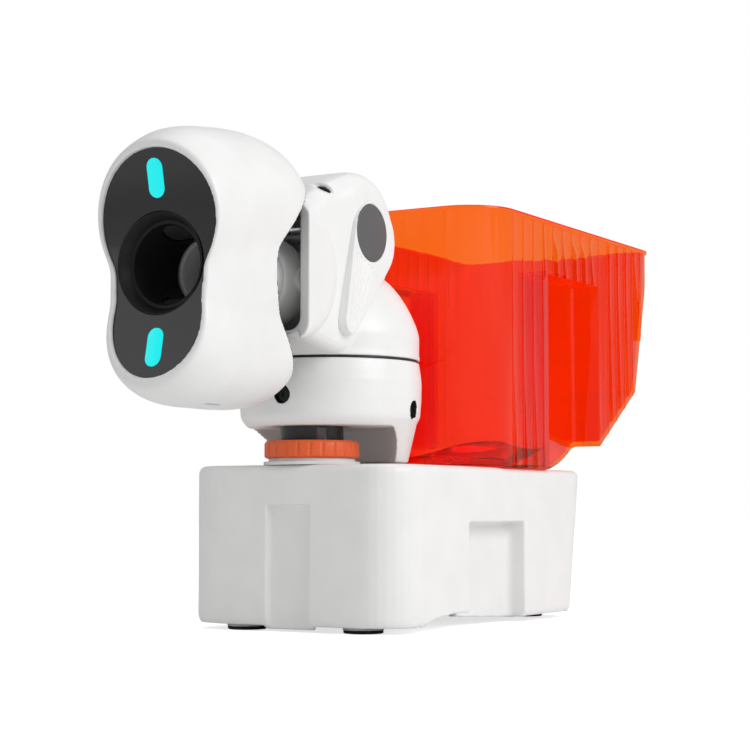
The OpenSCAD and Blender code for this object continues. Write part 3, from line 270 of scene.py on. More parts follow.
def make_finishes():
    """All finishes, by name."""
    s = bpy.context.scene.robot_finish
    made = {
        "white_shell": moulded("shell_white", s.shell, s.shell_roughness),
        "inner_white": moulded("inner_white", s.inner, 0.5),
        "black_plastic": moulded("plain_black", s.black, 0.36),
        # Painted reflection on the stem's band, and the hubs' own grey.
        "stripe_grey": moulded("stripe_grey", s.stripe, 0.45),
        "orange_plastic": moulded("ring_orange", s.orange, 0.42, 0.00003),
        "badge_grey": moulded("badge_grey", s.badge, 0.45, 0.00003),
        "tan_nylon": moulded("gear_nylon", s.nylon, 0.55, 0.00003),
        "cell_blue": moulded("cell_sleeve", s.cells, 0.35),
        "board_green": moulded("board_green", s.board, 0.4),
    }

    # Painted shade: a darker, duller copy of the black plastic for the nozzle's funnel, where shade falls in
    # the opening.
    made["nozzle_black"] = moulded("nozzle_black", shade(s.black, 0.55), 0.5, 0.00002, 0.25)
    plate = Finish("face_gloss")
    plate.set(Coat_Weight=0.6, Coat_Roughness=0.04, Specular_IOR_Level=0.45)
    plate.tint(plate.noise(20, 2), shade(s.plate, 0.8), shade(s.plate, 1.2))
    plate.rough(plate.noise(90, 5), 0.10, 0.17)
    made["gloss_black"] = plate.material

    rubber = Finish("foot_rubber")
    rubber.set(Specular_IOR_Level=0.3)
    rubber.tint(rubber.noise(120, 4), shade(s.rubber, 0.8), shade(s.rubber, 1.35))
    rubber.rough(rubber.noise(200, 3), 0.72, 0.88)
    rubber.bump(rubber.noise(900, 4), 0.00006)
    made["foot_rubber"] = rubber.material
    tyre = Finish("tyre_rubber")
    tyre.set(Specular_IOR_Level=0.3)
    tyre.tint(tyre.noise(150, 4), shade(s.rubber, 0.9), shade(s.rubber, 1.6))
    tyre.rough(tyre.noise(260, 3), 0.6, 0.8)
    tyre.bump(tyre.noise(1400, 3, (0.4, 1, 1)), 0.00008)
    made["wheel_rubber"] = tyre.material

    steel = Finish("motor_steel")
    steel.set(Metallic=1.0)
    steel.tint(steel.noise(40, 3), shade(s.steel, 0.92), shade(s.steel, 1.05))
    steel.rough(steel.noise(700, 4, (1, 0.04, 0.04)), 0.24, 0.4)
    steel.bump(steel.noise(1800, 3, (1, 0.03, 0.03)), 0.00001)
    made["steel"] = steel.material
    dark_steel = Finish("screw_black")
    dark_steel.set(Metallic=0.6)
    dark_steel.tint(dark_steel.noise(80, 3), (0.012, 0.012, 0.013), (0.03, 0.03, 0.032))
    dark_steel.rough(dark_steel.noise(300, 3), 0.3, 0.45)
    made["black_steel"] = dark_steel.material

    clear = Finish("hopper_tint")
    clear.set(Transmission_Weight=1.0, IOR=1.03, Coat_Weight=0.5, Coat_Roughness=0.06)
    clear.tint(clear.noise(9, 2), shade(s.hopper, 0.975), shade(s.hopper, 1.01))
    clear.rough(clear.noise(50, 3), 0.015, 0.05)
    made["red_clear"] = clear.material

    glow = Finish("light_cyan")
    glow.set(Emission_Strength=s.light_glow, Emission_Color=(*s.light, 1))
    glow.tint(glow.noise(60, 2), shade(s.light, 0.04), shade(s.light, 0.05))
    glow.rough(glow.noise(100, 2), 0.25, 0.35)
    made["light_cyan"] = glow.material

    # Painted shade: near black for the walls of the head's rear hollow and of the ports, where shade falls.
    liner = Finish("hollow_painted_shade")
    liner.tint(liner.noise(60, 3), (0.004, 0.004, 0.0045), (0.008, 0.008, 0.009))
    liner.rough(liner.noise(200, 3), 0.55, 0.7)
    made["liner"] = liner.material
    return made


finishes = {}

# Mesh helpers


def new_object(name, mesh):
    """An object for the mesh, linked into the scene."""
    obj = bpy.data.objects.new(name, mesh)
    bpy.context.scene.collection.objects.link(obj)
    return obj


def object_from(name, points, faces):
    """An object from plain lists of points and faces."""
    mesh = bpy.data.meshes.new(name)
    mesh.from_pydata([tuple(p) for p in points], [], faces)
    mesh.validate()
    return new_object(name, mesh)


def welded_copy(node, name):
    """The node's mesh as a new object, with its split points joined."""
    obj = new_object(name, frame["nodes"][node].data.copy())
    obj.data.materials.clear()
    b = bmesh.new()
    b.from_mesh(obj.data)
    bmesh.ops.remove_doubles(b, verts=b.verts, dist=1e-6)
    b.to_mesh(obj.data)
    b.free()
    return obj


def applied(obj):
    """The object with its modifiers baked into its mesh."""
    bpy.context.view_layer.update()
    shown = obj.evaluated_get(bpy.context.evaluated_depsgraph_get())
    mesh = bpy.data.meshes.new_from_object(shown)
    old = obj.data
    obj.modifiers.clear()
    obj.data = mesh
    bpy.data.meshes.remove(old)
    return obj


def cut(obj, tool, kind="DIFFERENCE"):
    """Joins, cuts or crosses the object with the tool and throws the tool away."""
    step = obj.modifiers.new("cut", "BOOLEAN")
    step.operation = kind
    step.object = tool
    step.solver = "EXACT"
    applied(obj)
    bpy.data.objects.remove(tool)
    return obj


def softened(obj, voxel, rounds, share=None):
    """Rebuilds the surface in small even steps and rounds its edges, as a mould does.

    share gives how much of the rounding a point gets, from its place.
    """
    rebuild = obj.modifiers.new("rebuild", "REMESH")
    rebuild.mode = "VOXEL"
    rebuild.voxel_size = voxel
    rebuild.use_smooth_shade = True
    applied(obj)
    smooth = obj.modifiers.new("round", "SMOOTH")
    smooth.factor = 0.5
    smooth.iterations = rounds
    if share:
        group = obj.vertex_groups.new(name="rounding")
        for vertex in obj.data.vertices:
            group.add([vertex.index], share(vertex.co), "REPLACE")
        smooth.vertex_group = group.name
    return applied(obj)


def rise(value, low, high):
    """Goes smoothly from 0 to 1 as the value goes from low to high."""
    t = max(0.0, min(1.0, (value - low) / (high - low)))
    return t * t * (3 - 2 * t)


def all_smooth(obj):
    obj.data.polygons.foreach_set("use_smooth", [True] * len(obj.data.polygons))


def crisp_edges(obj, width, angle=30):
    """Small broken edges with even shading between them."""
    all_smooth(obj)
    weld = obj.modifiers.new("weld", "WELD")
    weld.merge_threshold = 2e-6
    bevel = obj.modifiers.new("broken_edges", "BEVEL")
    bevel.limit_method = "ANGLE"
    bevel.angle_limit = math.radians(angle)
    bevel.width = width
    bevel.segments = 2
    bevel.harden_normals = True
    return obj


def dress(obj, finish):
    """Puts one finish over the whole object."""
    obj.data.materials.clear()
    obj.data.materials.append(finishes[finish])
    return obj


def stands_for(obj, node, body):
    """The object takes the place of the node and rides on its body."""
    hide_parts(node)
    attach(obj, body)


def dress_nodes(names, width=None):
    """Finishes the frame's own nodes with their slots' finishes and broken edges."""
    slots = {p["node"]: p["material_slot"] for p in frame["record"]["subparts"]}
    for name in names:
        node = frame["nodes"][name]
        dress(node, slots[name])
        crisp_edges(node, width or bpy.context.scene.robot_shells.edge)


def revolve_y(name, profile, y_axis_z, n=128):
    """A closed body turned about the nozzle's axis, from (radius, y) points."""
    points, faces = [], []
    m = len(profile)
    for i in range(n):
        a = 2 * math.pi * i / n
        points += [(r * math.cos(a), y, y_axis_z + r * math.sin(a)) for r, y in profile]
    for i in range(n):
        k = (i + 1) % n
        faces += [[i * m + j, i * m + (j + 1) % m, k * m + (j + 1) % m, k * m + j] for j in range(m)]
    return object_from(name, points, faces)


def ball(name, centre, radius):
    mesh = bpy.data.meshes.new(name)
    b = bmesh.new()
    bmesh.ops.create_uvsphere(
        b, u_segments=160, v_segments=96, radius=radius, matrix=Matrix.Translation(centre)
    )
    b.to_mesh(mesh)
    b.free()
    return new_object(name, mesh)


def rod(name, start, end, radius, n=96):
    """A closed round rod between two points."""
    way = Vector(end) - Vector(start)
    mesh = bpy.data.meshes.new(name)
    b = bmesh.new()
    turn = way.to_track_quat("Z", "Y").to_matrix().to_4x4()
    place = Matrix.Translation((Vector(start) + Vector(end)) / 2) @ turn
    bmesh.ops.create_cone(
        b, cap_ends=True, segments=n, radius1=radius, radius2=radius, depth=way.length, matrix=place
    )
    b.to_mesh(mesh)
    b.free()
    return new_object(name, mesh)


def block(name, low, high):
    """A closed box between two corners."""
    size = Vector(high) - Vector(low)
    mesh = bpy.data.meshes.new(name)
    b = bmesh.new()
    place = Matrix.Translation((Vector(low) + Vector(high)) / 2) @ Matrix.Diagonal((*size, 1))
    bmesh.ops.create_cube(b, size=1, matrix=place)
    b.to_mesh(mesh)
    b.free()
    return new_object(name, mesh)


# Head's shape


def to_lobe(a, z, r):
    """Distance from the nozzle's axis to the edge of a lobe, at angle a."""
    return z * np.sin(a) + np.sqrt(np.maximum(0, r * r - (z * np.cos(a)) ** 2))


def to_waist(a, w, h):
    return ((np.abs(np.cos(a)) / w) ** 4 + (np.abs(np.sin(a)) / h) ** 4) ** -0.25


def lobed(a, top_z, top_r, low_z, low_r, waist, sharp=16):
    """Outline of two lobes joined by a waist."""
    parts = (to_lobe(a, top_z, top_r), to_lobe(a, -low_z, low_r), to_waist(a, waist, low_z + 0.002))
    biggest = np.maximum.reduce(parts)
    return biggest * sum((p / biggest) ** sharp for p in parts) ** (1 / sharp)


HEAD_LEVELS = (
    (-2.5, -0.8, 0, 1),
    (-1.9, 0, 0, 1),
    (1.5, 0.2, 0.3, 1),
    (7, 0.5, 1.5, 1),
    (16, 1, 4, 1),
    (38, 1.5, 8, 1),
    (60, 1.5, 11, 1),
    (80, 0.5, 11.5, 1),
    (96.5, -1, 11.5, 0.985),
    (108.5, -2, 11, 0.94),
    (116.5, -3, 11, 0.87),
    (121.5, -3, 11, 0.77),
    (123.5, -3, 11, 0.62),
)
INNER_LEVELS = ((7, 0, 1, 1),) + HEAD_LEVELS[4:9] + tuple((d - 3, g, u, s) for d, g, u, s in HEAD_LEVELS[9:])


def filled_in(levels, steps):
    """Levels with smooth steps between them, as a Catmull-Rom curve through the given ones."""
    p = np.array([(d, g, u, s * 50) for d, g, u, s in levels], float)
    p = np.vstack([2 * p[0] - p[1], p, 2 * p[-1] - p[-2]])
    out = []
    for i in range(1, len(p) - 2):
        gaps = [max(1e-6, np.linalg.norm(p[i + k] - p[i + k - 1])) ** 0.5 for k in range(3)]
        t0, t1 = 0.0, gaps[0]
        t2 = t1 + gaps[1]
        t3 = t2 + gaps[2]
        for t in np.linspace(t1, t2, steps, endpoint=False):
            a1 = ((t1 - t) * p[i - 1] + (t - t0) * p[i]) / (t1 - t0)
            a2 = ((t2 - t) * p[i] + (t - t1) * p[i + 1]) / (t2 - t1)
            a3 = ((t3 - t) * p[i + 1] + (t - t2) * p[i + 2]) / (t3 - t2)
            b1 = ((t2 - t) * a1 + (t - t0) * a2) / (t2 - t0)
            b2 = ((t3 - t) * a2 + (t - t1) * a3) / (t3 - t1)
            out.append(((t2 - t) * b1 + (t - t1) * b2) / (t2 - t1))
    out.append(p[-2])
    return [(d, g, u, s / 50) for d, g, u, s in out]


def head_body(name, levels, inset, n=180, steps=7):
    """Closed body lofted through the head's levels, drawn inward by the inset."""
    h = bpy.context.scene.robot_head
    a = np.linspace(0, 2 * math.pi, n, endpoint=False)
    points, faces = [], []
    rows = filled_in(levels, steps)
    for depth, grow, lift, size in rows:
        depth, grow, lift = depth * MM, grow * MM - inset, lift * MM
        t = max(0, min(1, (depth + 0.0025) / h.swell))
        t = math.sqrt(t * (2 - t))
        r = size * lobed(
            a,
            (1 - t) * h.plate_top_z + t * h.lobe_top_z + lift,
            (1 - t) * (h.plate_top_r + h.rim) + t * h.lobe_top_r + grow,
            (1 - t) * h.plate_low_z + t * h.lobe_low_z,
            (1 - t) * (h.plate_low_r + h.rim) + t * h.lobe_low_r + grow,
            (1 - t) * (h.plate_waist + h.rim) + t * h.waist + grow,
        )
        x, z = r * np.cos(a), r * np.sin(a)
        y = FACE_Y + depth - max(0, 1 - depth / 0.060) * z * z / (2 * h.face_curve)
        points += list(zip(x, y, z + NOZZLE_Z))
    for k in range(len(rows) - 1):
        faces += [
            [k * n + i, k * n + (i + 1) % n, (k + 1) * n + (i + 1) % n, (k + 1) * n + i] for i in range(n)
        ]
    faces.append(list(range(n))[::-1])
    faces.append([(len(rows) - 1) * n + i for i in range(n)])
    obj = object_from(name, points, faces)
    outward(obj)
    return obj


def outward(obj):
    b = bmesh.new()
    b.from_mesh(obj.data)
    bmesh.ops.recalc_face_normals(b, faces=b.faces)
    b.to_mesh(obj.data)
    b.free()


def plate_prism(name, grow, y0, y1, n=144):
    """Closed prism of the face plate's outline."""
    h = bpy.context.scene.robot_head
    a = np.linspace(0, 2 * math.pi, n, endpoint=False)
    r = lobed(
        a,
        h.plate_top_z,
        h.plate_top_r + grow,
        h.plate_low_z,
        h.plate_low_r + grow,
        h.plate_waist + grow,
    )
    x, z = r * np.cos(a), NOZZLE_Z + r * np.sin(a)
    points = [(px, y, pz) for y in (y0, y1) for px, pz in zip(x, z)]
    faces = [[i, (i + 1) % n, n + (i + 1) % n, n + i] for i in range(n)]
    faces += [list(range(n))[::-1], list(range(n, 2 * n))]
    obj = object_from(name, points, faces)
    outward(obj)
    return obj


def face_curve(name, set_back):
    """Rod whose front side is the face plate's concave front, set back by a depth."""
    h = bpy.context.scene.robot_head
    start = (-0.080, FACE_Y - h.face_curve, NOZZLE_Z)
    end = (0.080, FACE_Y - h.face_curve, NOZZLE_Z)
    return rod(name, start, end, h.face_curve + set_back, 512)


def face_recess(name):
    """What the face plate sits in: its outline in front of the curved seat."""
    h = bpy.context.scene.robot_head
    prism = plate_prism(name, 0.00025, FACE_Y - 0.060, FACE_Y + 0.030)
    return cut(prism, face_curve("seat_curve", h.plate_t + 0.0001), "INTERSECT")


def closed_prism(name, points):
    """Closed prism from the points of one end's outline, followed by those of the other end's."""
    m = len(points) // 2
    faces = [[i, (i + 1) % m, m + (i + 1) % m, m + i] for i in range(m)]
    faces += [list(range(m))[::-1], list(range(m, 2 * m))]
    obj = object_from(name, points, faces)
    outward(obj)
    return obj


def light_prism(name, up, grow, n=24):
    """Closed prism of a light's pill outline."""
    low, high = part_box("light_upper" if up > 0 else "light_lower")
    radius = (high.x - low.x) / 2
    straight = (high.z - low.z) / 2 - radius
    middle = (low.z + high.z) / 2
    outline = []
    for i in range(2 * n):
        a = math.pi * (i + 0.5) / n
        end = straight if math.sin(a) > 0 else -straight
        outline.append(((radius + grow) * math.cos(a), middle + end + (radius + grow) * math.sin(a)))
    return closed_prism(name, [(x, y, z) for y in (FACE_Y - 0.060, FACE_Y + 0.030) for x, z in outline])


# The sill's arch in the side view, as (distance from the base's front, height). Its middle
# points stand higher than the photograph's, because the heel drop lowers them again.
ARCH = [
    (0.032, -0.010), (0.032, 0.0018), (0.052, 0.0060), (0.070, 0.0090), (0.086, 0.0100), (0.120, 0.0084),
    (0.169, 0.0062), (0.196, 0.0050), (0.233, 0.0018), (0.233, -0.010),
]


def paint_port_shade(shell):
    """Paints shade on the walls of the ports with the near-black finish; the ports are found from the screws
    in them.
    """
    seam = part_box("seam_gasket")
    middle = Vector((0, (seam[0].y + seam[1].y) / 2, 0))
    points = [v.co for v in frame["nodes"]["port_screws"].data.vertices]
    ports = []
    for way in (Vector((0, -1, 0)), Vector((1, 0, 0)), Vector((-1, 0, 0))):
        near = [p for p in points if (p - middle).xy.normalized().dot(way.xy) > 0.8]
        height = (min(p.z for p in near) + max(p.z for p in near)) / 2
        side = sum((p.xy for p in near), Vector((0, 0))) / len(near) - middle.xy
        out = Vector((side.x, side.y, 0)).normalized()
        width = max(p.z for p in near) - min(p.z for p in near)
        ports.append((Vector((middle.x, middle.y, height)), out, width / 2 + 0.0011))
    dark = []
    for polygon in shell.data.polygons:
        inside = 0
        for start, out, radius in ports:
            along = (polygon.center - start).dot(out)
            if along > 0.04 and (polygon.center - start - out * along).length < radius:
                inside = 1
        dark.append(inside)
    shell.data.polygons.foreach_set("material_index", dark)


# Where the hood's swell sets in and is full, as distances from the badge's middle, and
# from the middle plane. These and the swell's size are guesses.
SWELL_Y = (-0.036, -0.016)
SWELL_Z = (-0.086, -0.066)
SWELL_X = (0.022, 0.040)

# The ear plate's outline and grooves in the side view, from the badge's middle, as (y, z).
# The circle and the tip are near the photograph's; the grooves were placed one by one.
EAR_MIDDLE = (0.005, -0.004)
EAR_TIP = (-0.0265, -0.066)
EAR_TIP_R = 0.0085
GROOVE_TOPS = ((-0.0195, -0.0165), (0.0010, -0.0250))
GROOVE_FEET = ((-0.0300, -0.0670), (-0.0205, -0.0670))
GROOVE_HALF_WIDTHS = (0.0010, 0.0005)
BADGE_SEAT_DEPTH = 0.0014


def widened_hood(shell):
    """Lets the hood's sides swell out under the ear plates, with a valley before the cheeks."""
    low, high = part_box("badge_right")
    y, z = (low.y + high.y) / 2, (low.z + high.z) / 2
    swell = bpy.context.scene.robot_head.hood_swell
    for vertex in shell.data.vertices:
        place = vertex.co
        push = rise(place.y, y + SWELL_Y[0], y + SWELL_Y[1])
        push *= rise(place.z, z + SWELL_Z[0], z + SWELL_Z[1])
        push *= rise(abs(place.x), *SWELL_X) * swell
        place.x += math.copysign(push, place.x)


def teardrop(big, big_r, small, small_r, n=48):
    """Outline round two circles, as (y, z) points."""
    way = math.atan2(small[1] - big[1], small[0] - big[0])
    lean = math.acos((big_r - small_r) / math.hypot(small[0] - big[0], small[1] - big[1]))
    outline = []
    for centre, radius, start, end in (
        (big, big_r, way + lean, way - lean + 2 * math.pi),
        (small, small_r, way - lean, way + lean),
    ):
        for a in np.linspace(start, end, n):
            outline.append((centre[0] + radius * math.cos(a), centre[1] + radius * math.sin(a)))
    return outline


def side_prism(name, outline, x0, x1):
    """Closed prism of a side-view outline between two distances from the middle plane."""
    return closed_prism(name, [(x, y, z) for x in (x0, x1) for y, z in outline])


def ear_plate(name, node, badge, side):
    """Ear plate with the seat of its badge and a fan of fine grooves down to its tip."""
    h = bpy.context.scene.robot_head
    low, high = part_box(badge)
    y, z = (low.y + high.y) / 2, (low.z + high.z) / 2
    radius = (high.z - low.z) / 2
    ends = sorted((abs(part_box(node)[0].x), abs(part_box(node)[1].x)))
    inner, outer = side * ends[0], side * ends[1]
    big = (y + EAR_MIDDLE[0], z + EAR_MIDDLE[1])
    tip = (y + EAR_TIP[0], z + EAR_TIP[1])
    ear = side_prism(name, teardrop(big, h.ear_r, tip, EAR_TIP_R), inner, outer)
    seat = outer - side * BADGE_SEAT_DEPTH
    cut(ear, rod("badge_seat", (seat, y, z), (outer + side * 0.01, y, z), radius + 0.0003, 128))
    for i in range(h.grooves):
        t = i / (h.grooves - 1)
        top = Vector((y, z)) + Vector(GROOVE_TOPS[0]).lerp(Vector(GROOVE_TOPS[1]), t)
        foot = Vector((y, z)) + Vector(GROOVE_FEET[0]).lerp(Vector(GROOVE_FEET[1]), t)
        across = (top - foot).orthogonal().normalized()
        wide, narrow = (across * half for half in GROOVE_HALF_WIDTHS)
        outline = [top - wide, top + wide, foot + narrow, foot - narrow]
        cut(ear, side_prism("groove", outline, outer - side * h.groove_depth, outer + side * 0.01))
    return softened(ear, 0.00042, 2)


# Operators


class ROBOT_OT_base(bpy.types.Operator):
    """Base housing with its floor, feet, button and socket"""

    bl_idname = "robot.base"
    bl_label = "Base"

    def execute(self, context):
        s = context.scene.robot_shells
        shell = welded_copy("base_shell", "base_moulding")
        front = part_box("base_shell")[0].y
        sill = [(front + y, z) for y, z in ARCH]
        for side in (-1, 1):
            cut(shell, side_prism("arch", sill, side * 0.070, side * 0.110))
        shell = softened(
            shell,
            s.base_voxel,
            s.base_rounds,
            lambda place: 0.12 + 0.88 * rise(place.z, 0.010, 0.022),
        )
        for vertex in shell.data.vertices:
            vertex.co.z -= s.heel_drop * (1 - rise(vertex.co.z, 0.0025, 0.020))
        dress(shell, "white_shell")
        stands_for(shell, "base_shell", "base")
        dress_nodes(["base_floor", "power_button", "charge_socket", "floor_screws", "stem_flange"])
        dress_nodes(["foot_front_left", "foot_front_right", "foot_rear_left", "foot_rear_right"])
        return {"FINISHED"}


class ROBOT_OT_ball_path(bpy.types.Operator):
    """Feed disc, bowl, elbows, stem with its grey band of painted reflection, and the lock ring"""

    bl_idname = "robot.ball_path"
    bl_label = "Ball path"

    def execute(self, context):
        # Painted reflection: the stem's grey band takes this finish.
        dress_nodes(["feed_bowl", "feed_elbow", "feed_stem", "stem_stripe", "ball_elbow", "feed_disc"])
        dress_nodes(["lock_ring"], 0.00045)
        return {"FINISHED"}


class ROBOT_OT_hopper(bpy.types.Operator):
    """Tinted hopper and the funnel ramp on its floor"""

    bl_idname = "robot.hopper"
    bl_label = "Hopper"

    def execute(self, context):
        dress_nodes(["hopper", "hopper_ramp"], 0.0003)
        return {"FINISHED"}


class ROBOT_OT_turret(bpy.types.Operator):
    """Turret's lower bowl and upper dome, their seam and the screws in the ports"""

    bl_idname = "robot.turret"
    bl_label = "Turret"

    def execute(self, context):
        s = context.scene.robot_shells
        for node, name, rounds in (
            ("turret_lower", "bowl_moulding", max(2, s.turret_rounds // 3)),
            ("turret_upper", "dome_moulding", s.turret_rounds),
        ):
            shell = softened(welded_copy(node, name), s.shell_voxel, rounds)
            dress(shell, "white_shell")
            if node == "turret_lower":
                # Painted shade: the ports' walls get the near-black finish.
                shell.data.materials.append(finishes["liner"])
                paint_port_shade(shell)
            else:
                widened_hood(shell)
            stands_for(shell, node, "turret")
        dress_nodes(["seam_gasket", "port_screws", "stem_bearing"])
        return {"FINISHED"}


class ROBOT_OT_ears(bpy.types.Operator):
    """Ribbed ear plates and their bare badge discs"""

    bl_idname = "robot.ears"
    bl_label = "Ears"

    def execute(self, context):
        for end, side in (("left", -1), ("right", 1)):
            ear = ear_plate(f"ear_plate_{end}", f"ear_{end}", f"badge_{end}", side)
            dress(ear, "white_shell")
            stands_for(ear, f"ear_{end}", "turret")
        dress_nodes(["badge_left", "badge_right"])
        return {"FINISHED"}


class ROBOT_OT_head(bpy.types.Operator):
    """Two-lobed head shell with its hollow back and vents"""

    bl_idname = "robot.head"
    bl_label = "Head"

    def execute(self, context):
        s, h = context.scene.robot_shells, context.scene.robot_head
        middle = (0, FACE_Y + h.hollow_y, NOZZLE_Z)
        shell = head_body("head_moulding", HEAD_LEVELS, 0)
        cavity = head_body("cavity", INNER_LEVELS, h.wall)
        cut(cavity, ball("back_wall", middle, h.hollow_r + h.wall))
        cut(shell, cavity)
        cut(shell, ball("rear_hollow", middle, h.hollow_r))
        cut(shell, face_recess("recess"))
        cut(shell, plate_prism("window", -0.0016, FACE_Y - 0.060, FACE_Y + 0.012))
        front, back = (0, FACE_Y + 0.030, NOZZLE_Z), (0, FACE_Y + 0.200, NOZZLE_Z)
        cut(shell, rod("collar_hole", front, back, h.collar_r + 0.0001))
        for i in range(4):
            x = (-12 + 8 * i) * MM
            low = (x - 0.0016, WHEEL_Y + 0.002, NOZZLE_Z - 0.110)
            high = (x + 0.0016, WHEEL_Y + 0.018, NOZZLE_Z - 0.070)
            cut(shell, block("vent", low, high))
        softened(shell, s.shell_voxel, s.head_rounds)
        dress(shell, "white_shell")
        # Painted shade: the faces inside the rear hollow get the near-black finish.
        shell.data.materials.append(finishes["liner"])
        reach = h.hollow_r + 0.0012
        dark = [
            1 if (p.center - Vector(middle)).length < reach and p.center.y > WHEEL_Y else 0
            for p in shell.data.polygons
        ]
        shell.data.polygons.foreach_set("material_index", dark)
        stands_for(shell, "head_shell", "head")
        dress_nodes(["head_collar", "head_sleeve", "tilt_ball"])
        return {"FINISHED"}


class ROBOT_OT_face(bpy.types.Operator):
    """Glossy face plate, nozzle ring and lights"""

    bl_idname = "robot.face"
    bl_label = "Face"

    def execute(self, context):
        h = context.scene.robot_head
        plate = plate_prism("face_panel", 0, FACE_Y - 0.060, FACE_Y + 0.030)
        cut(plate, face_curve("plate_back", h.plate_t), "INTERSECT")
        cut(plate, face_curve("plate_front", 0))
        ahead, behind = (0, FACE_Y - 0.050, NOZZLE_Z), (0, FACE_Y + 0.050, NOZZLE_Z)
        cut(plate, rod("nozzle_hole", ahead, behind, h.nozzle_r, 160))
        for up in (-1, 1):
            cut(plate, light_prism("light_hole", up, 0.0001))
        all_smooth(plate)
        plate.data.set_sharp_from_angle(angle=math.radians(30))
        dress(plate, "gloss_black")
        stands_for(plate, "face_plate", "head")
        self.make_nozzle(h)
        dress_nodes(["light_upper", "light_lower"], 0.0004)
        return {"FINISHED"}

    def make_nozzle(self, h):
        """Funnel behind the plate with its step, and the guide that the wheels reach into."""
        front, step, throat, rear = FACE_Y - 0.0012, FACE_Y + 0.007, FACE_Y + 0.022, FACE_Y + 0.0498
        guide = 0.030
        profile = [
            (h.nozzle_r - 0.0002, front),
            (h.nozzle_r - 0.0002, step + 0.002),
            (guide, step + 0.002),
            (guide, rear),
            (h.throat_r, rear),
            (h.throat_r, throat),
            (guide - 0.0035, step),
            (guide - 0.0015, step - 0.0006),
            (h.nozzle_r - 0.0016, front + 0.0004),
            (h.nozzle_r - 0.0010, front),
        ]
        nozzle = revolve_y("nozzle_funnel", profile, NOZZLE_Z)
        outward(nozzle)
        radius = (WHEEL_BOX[1].z - WHEEL_BOX[0].z) / 2 + 0.007
        middle = (WHEEL_BOX[1].z + WHEEL_BOX[0].z) / 2 - NOZZLE_Z
        for up in (-1, 1):
            z = NOZZLE_Z + up * middle
            cut(nozzle, rod("wheel_gap", (-0.013, WHEEL_Y, z), (0.013, WHEEL_Y, z), radius, 160))
            for side in (-1, 1):
                cut(nozzle, rod("motor_gap", (side * 0.0125, WHEEL_Y, z), (side * 0.06, WHEEL_Y, z), 0.014))
        all_smooth(nozzle)
        nozzle.data.set_sharp_from_angle(angle=math.radians(30))
        # Painted shade: the funnel takes the darker copy of the black plastic.
        dress(nozzle, "nozzle_black")
        stands_for(nozzle, "nozzle_ring", "head")


class ROBOT_OT_drives(bpy.types.Operator):
    """Throwing wheels, motors, gears, battery and board"""

    bl_idname = "robot.drives"
    bl_label = "Drives"

    def execute(self, context):
        for end in ("upper", "lower"):
            dress_nodes([f"wheel_motor_{end}", f"wheel_hub_{end}", f"wheel_tyre_{end}"])
        dress_nodes(["yaw_gear", "tilt_gear", "yaw_pinion", "tilt_pinion", "roll_pinion"], 0.00012)
        dress_nodes(["yaw_motor", "tilt_motor", "roll_motor", "feed_motor", "battery_pack", "control_board"])
        return {"FINISHED"}


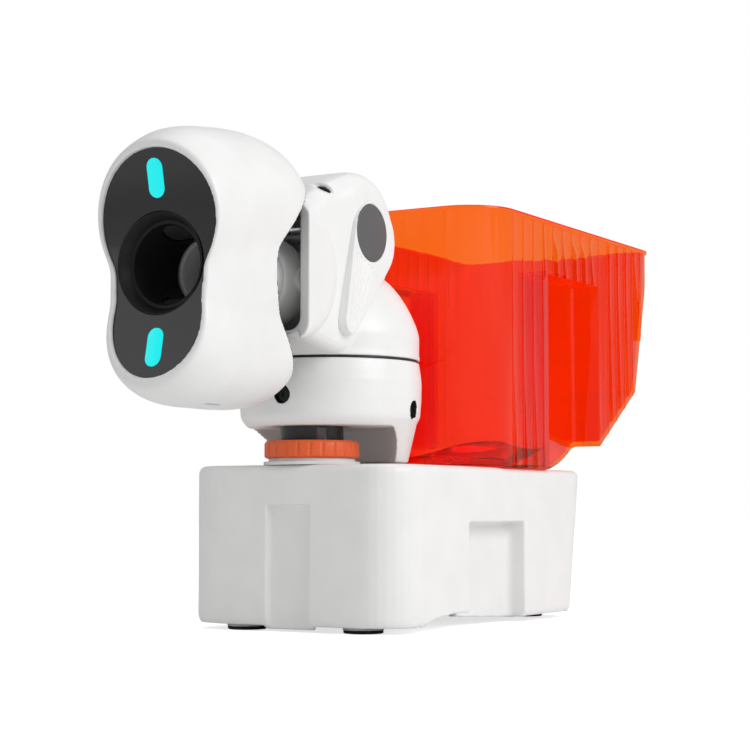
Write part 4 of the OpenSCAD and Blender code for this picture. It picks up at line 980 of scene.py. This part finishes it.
class ROBOT_OT_stage(bpy.types.Operator):
    """Floor, lamps, surroundings and camera"""

    bl_idname = "robot.stage"
    bl_label = "Stage"

    def execute(self, context):
        s = context.scene.robot_stage
        scene = context.scene
        self.make_camera(scene, s)
        self.make_floor(s)
        self.make_world(scene, s)
        self.make_lamp("key", s.key, (2.2, -0.25, 1.35), 1.6)
        self.make_lamp("fill", s.fill, (-1.7, -1.5, 0.9), 1.6)
        self.make_lamp("top", s.top, (0.1, 0.2, 2.1), 1.8)
        scene.view_settings.view_transform = "Standard"
        return {"FINISHED"}

    def make_camera(self, scene, s):
        camera = bpy.data.objects.new("camera", bpy.data.cameras.new("camera"))
        scene.collection.objects.link(camera)
        camera.location = (s.camera_x, -s.camera_y, s.camera_z)
        camera.rotation_euler = (math.pi / 2 + s.pitch, 0, s.turn)
        camera.data.lens = s.lens
        camera.data.sensor_width = 36
        camera.data.clip_start = 0.02
        scene.camera = camera

    def make_floor(self, s):
        half = 8.0
        corners = [(-half, -half, 0), (half, -half, 0), (half, half, 0), (-half, half, 0)]
        floor = object_from("floor", corners, [[0, 1, 2, 3]])
        material = bpy.data.materials.new("floor_paper")
        material.use_nodes = True
        nodes, links = material.node_tree.nodes, material.node_tree.links
        paper = nodes["Principled BSDF"]
        paper.inputs["Base Color"].default_value = (*s.floor, 1)
        paper.inputs["Roughness"].default_value = 0.9
        paper.inputs["Specular IOR Level"].default_value = 0.0
        paths = nodes.new("ShaderNodeLightPath")
        seen = nodes.new("ShaderNodeMath")
        seen.operation = "MAXIMUM"
        links.new(paths.outputs["Is Camera Ray"], seen.inputs[0])
        links.new(paths.outputs["Is Transmission Ray"], seen.inputs[1])
        level = nodes.new("ShaderNodeMath")
        level.operation = "MULTIPLY"
        level.inputs[1].default_value = 0.70
        links.new(seen.outputs[0], level.inputs[0])
        lift = nodes.new("ShaderNodeEmission")
        links.new(level.outputs[0], lift.inputs["Strength"])
        both = nodes.new("ShaderNodeAddShader")
        links.new(paper.outputs[0], both.inputs[0])
        links.new(lift.outputs[0], both.inputs[1])
        links.new(both.outputs[0], nodes["Material Output"].inputs["Surface"])
        floor.data.materials.append(material)

    def make_world(self, scene, s):
        world = bpy.data.worlds.new("studio")
        world.use_nodes = True
        scene.world = world
        nodes, links = world.node_tree.nodes, world.node_tree.links
        paths = nodes.new("ShaderNodeLightPath")
        direct = nodes.new("ShaderNodeMath")
        direct.operation = "MAXIMUM"
        links.new(paths.outputs["Is Camera Ray"], direct.inputs[0])
        links.new(paths.outputs["Is Transmission Ray"], direct.inputs[1])
        level = nodes.new("ShaderNodeMapRange")
        level.inputs["To Min"].default_value = s.ambient
        level.inputs["To Max"].default_value = 1.0
        links.new(direct.outputs[0], level.inputs["Value"])
        background = nodes["Background"]
        background.inputs["Color"].default_value = (1, 1, 1, 1)
        links.new(level.outputs["Result"], background.inputs["Strength"])

    def make_lamp(self, name, power, place, size):
        lamp = bpy.data.objects.new(name, bpy.data.lights.new(name, "AREA"))
        bpy.context.scene.collection.objects.link(lamp)
        lamp.data.energy = power
        lamp.data.shape = "DISK"
        lamp.data.size = size
        lamp.location = place
        lamp.rotation_euler = (Vector((0, 0, 0.16)) - Vector(place)).to_track_quat("-Z", "Y").to_euler()


class ROBOT_PT_panel(bpy.types.Panel):
    """Lists the robot's settings and pieces"""

    bl_label = "Table tennis robot"
    bl_idname = "ROBOT_PT_panel"
    bl_space_type = "VIEW_3D"
    bl_region_type = "UI"
    bl_category = "Robot"

    def draw(self, context):
        for group in (
            context.scene.robot_finish,
            context.scene.robot_shells,
            context.scene.robot_head,
            context.scene.robot_stage,
        ):
            box = self.layout.box()
            for name in group.bl_rna.properties.keys():
                if name not in ("rna_type", "name"):
                    box.prop(group, name)
        for operator in OPERATORS:
            self.layout.operator(operator.bl_idname)


OPERATORS = (
    ROBOT_OT_base,
    ROBOT_OT_ball_path,
    ROBOT_OT_hopper,
    ROBOT_OT_turret,
    ROBOT_OT_ears,
    ROBOT_OT_head,
    ROBOT_OT_face,
    ROBOT_OT_drives,
    ROBOT_OT_stage,
)
GROUPS = {
    "robot_finish": FinishSettings,
    "robot_shells": ShellSettings,
    "robot_head": HeadSettings,
    "robot_stage": StageSettings,
}


def register():
    for name, group in GROUPS.items():
        bpy.utils.register_class(group)
        setattr(bpy.types.Scene, name, bpy.props.PointerProperty(type=group))
    for item in OPERATORS + (ROBOT_PT_panel,):
        bpy.utils.register_class(item)


def unregister():
    for item in reversed(OPERATORS + (ROBOT_PT_panel,)):
        bpy.utils.unregister_class(item)
    for name, group in GROUPS.items():
        delattr(bpy.types.Scene, name)
        bpy.utils.unregister_class(group)


def main():
    register()
    finishes.update(make_finishes())
    bpy.ops.robot.base()
    bpy.ops.robot.ball_path()
    bpy.ops.robot.hopper()
    bpy.ops.robot.turret()
    bpy.ops.robot.ears()
    bpy.ops.robot.head()
    bpy.ops.robot.face()
    bpy.ops.robot.drives()
    bpy.ops.robot.stage()


if __name__ == "__main__":
    main()
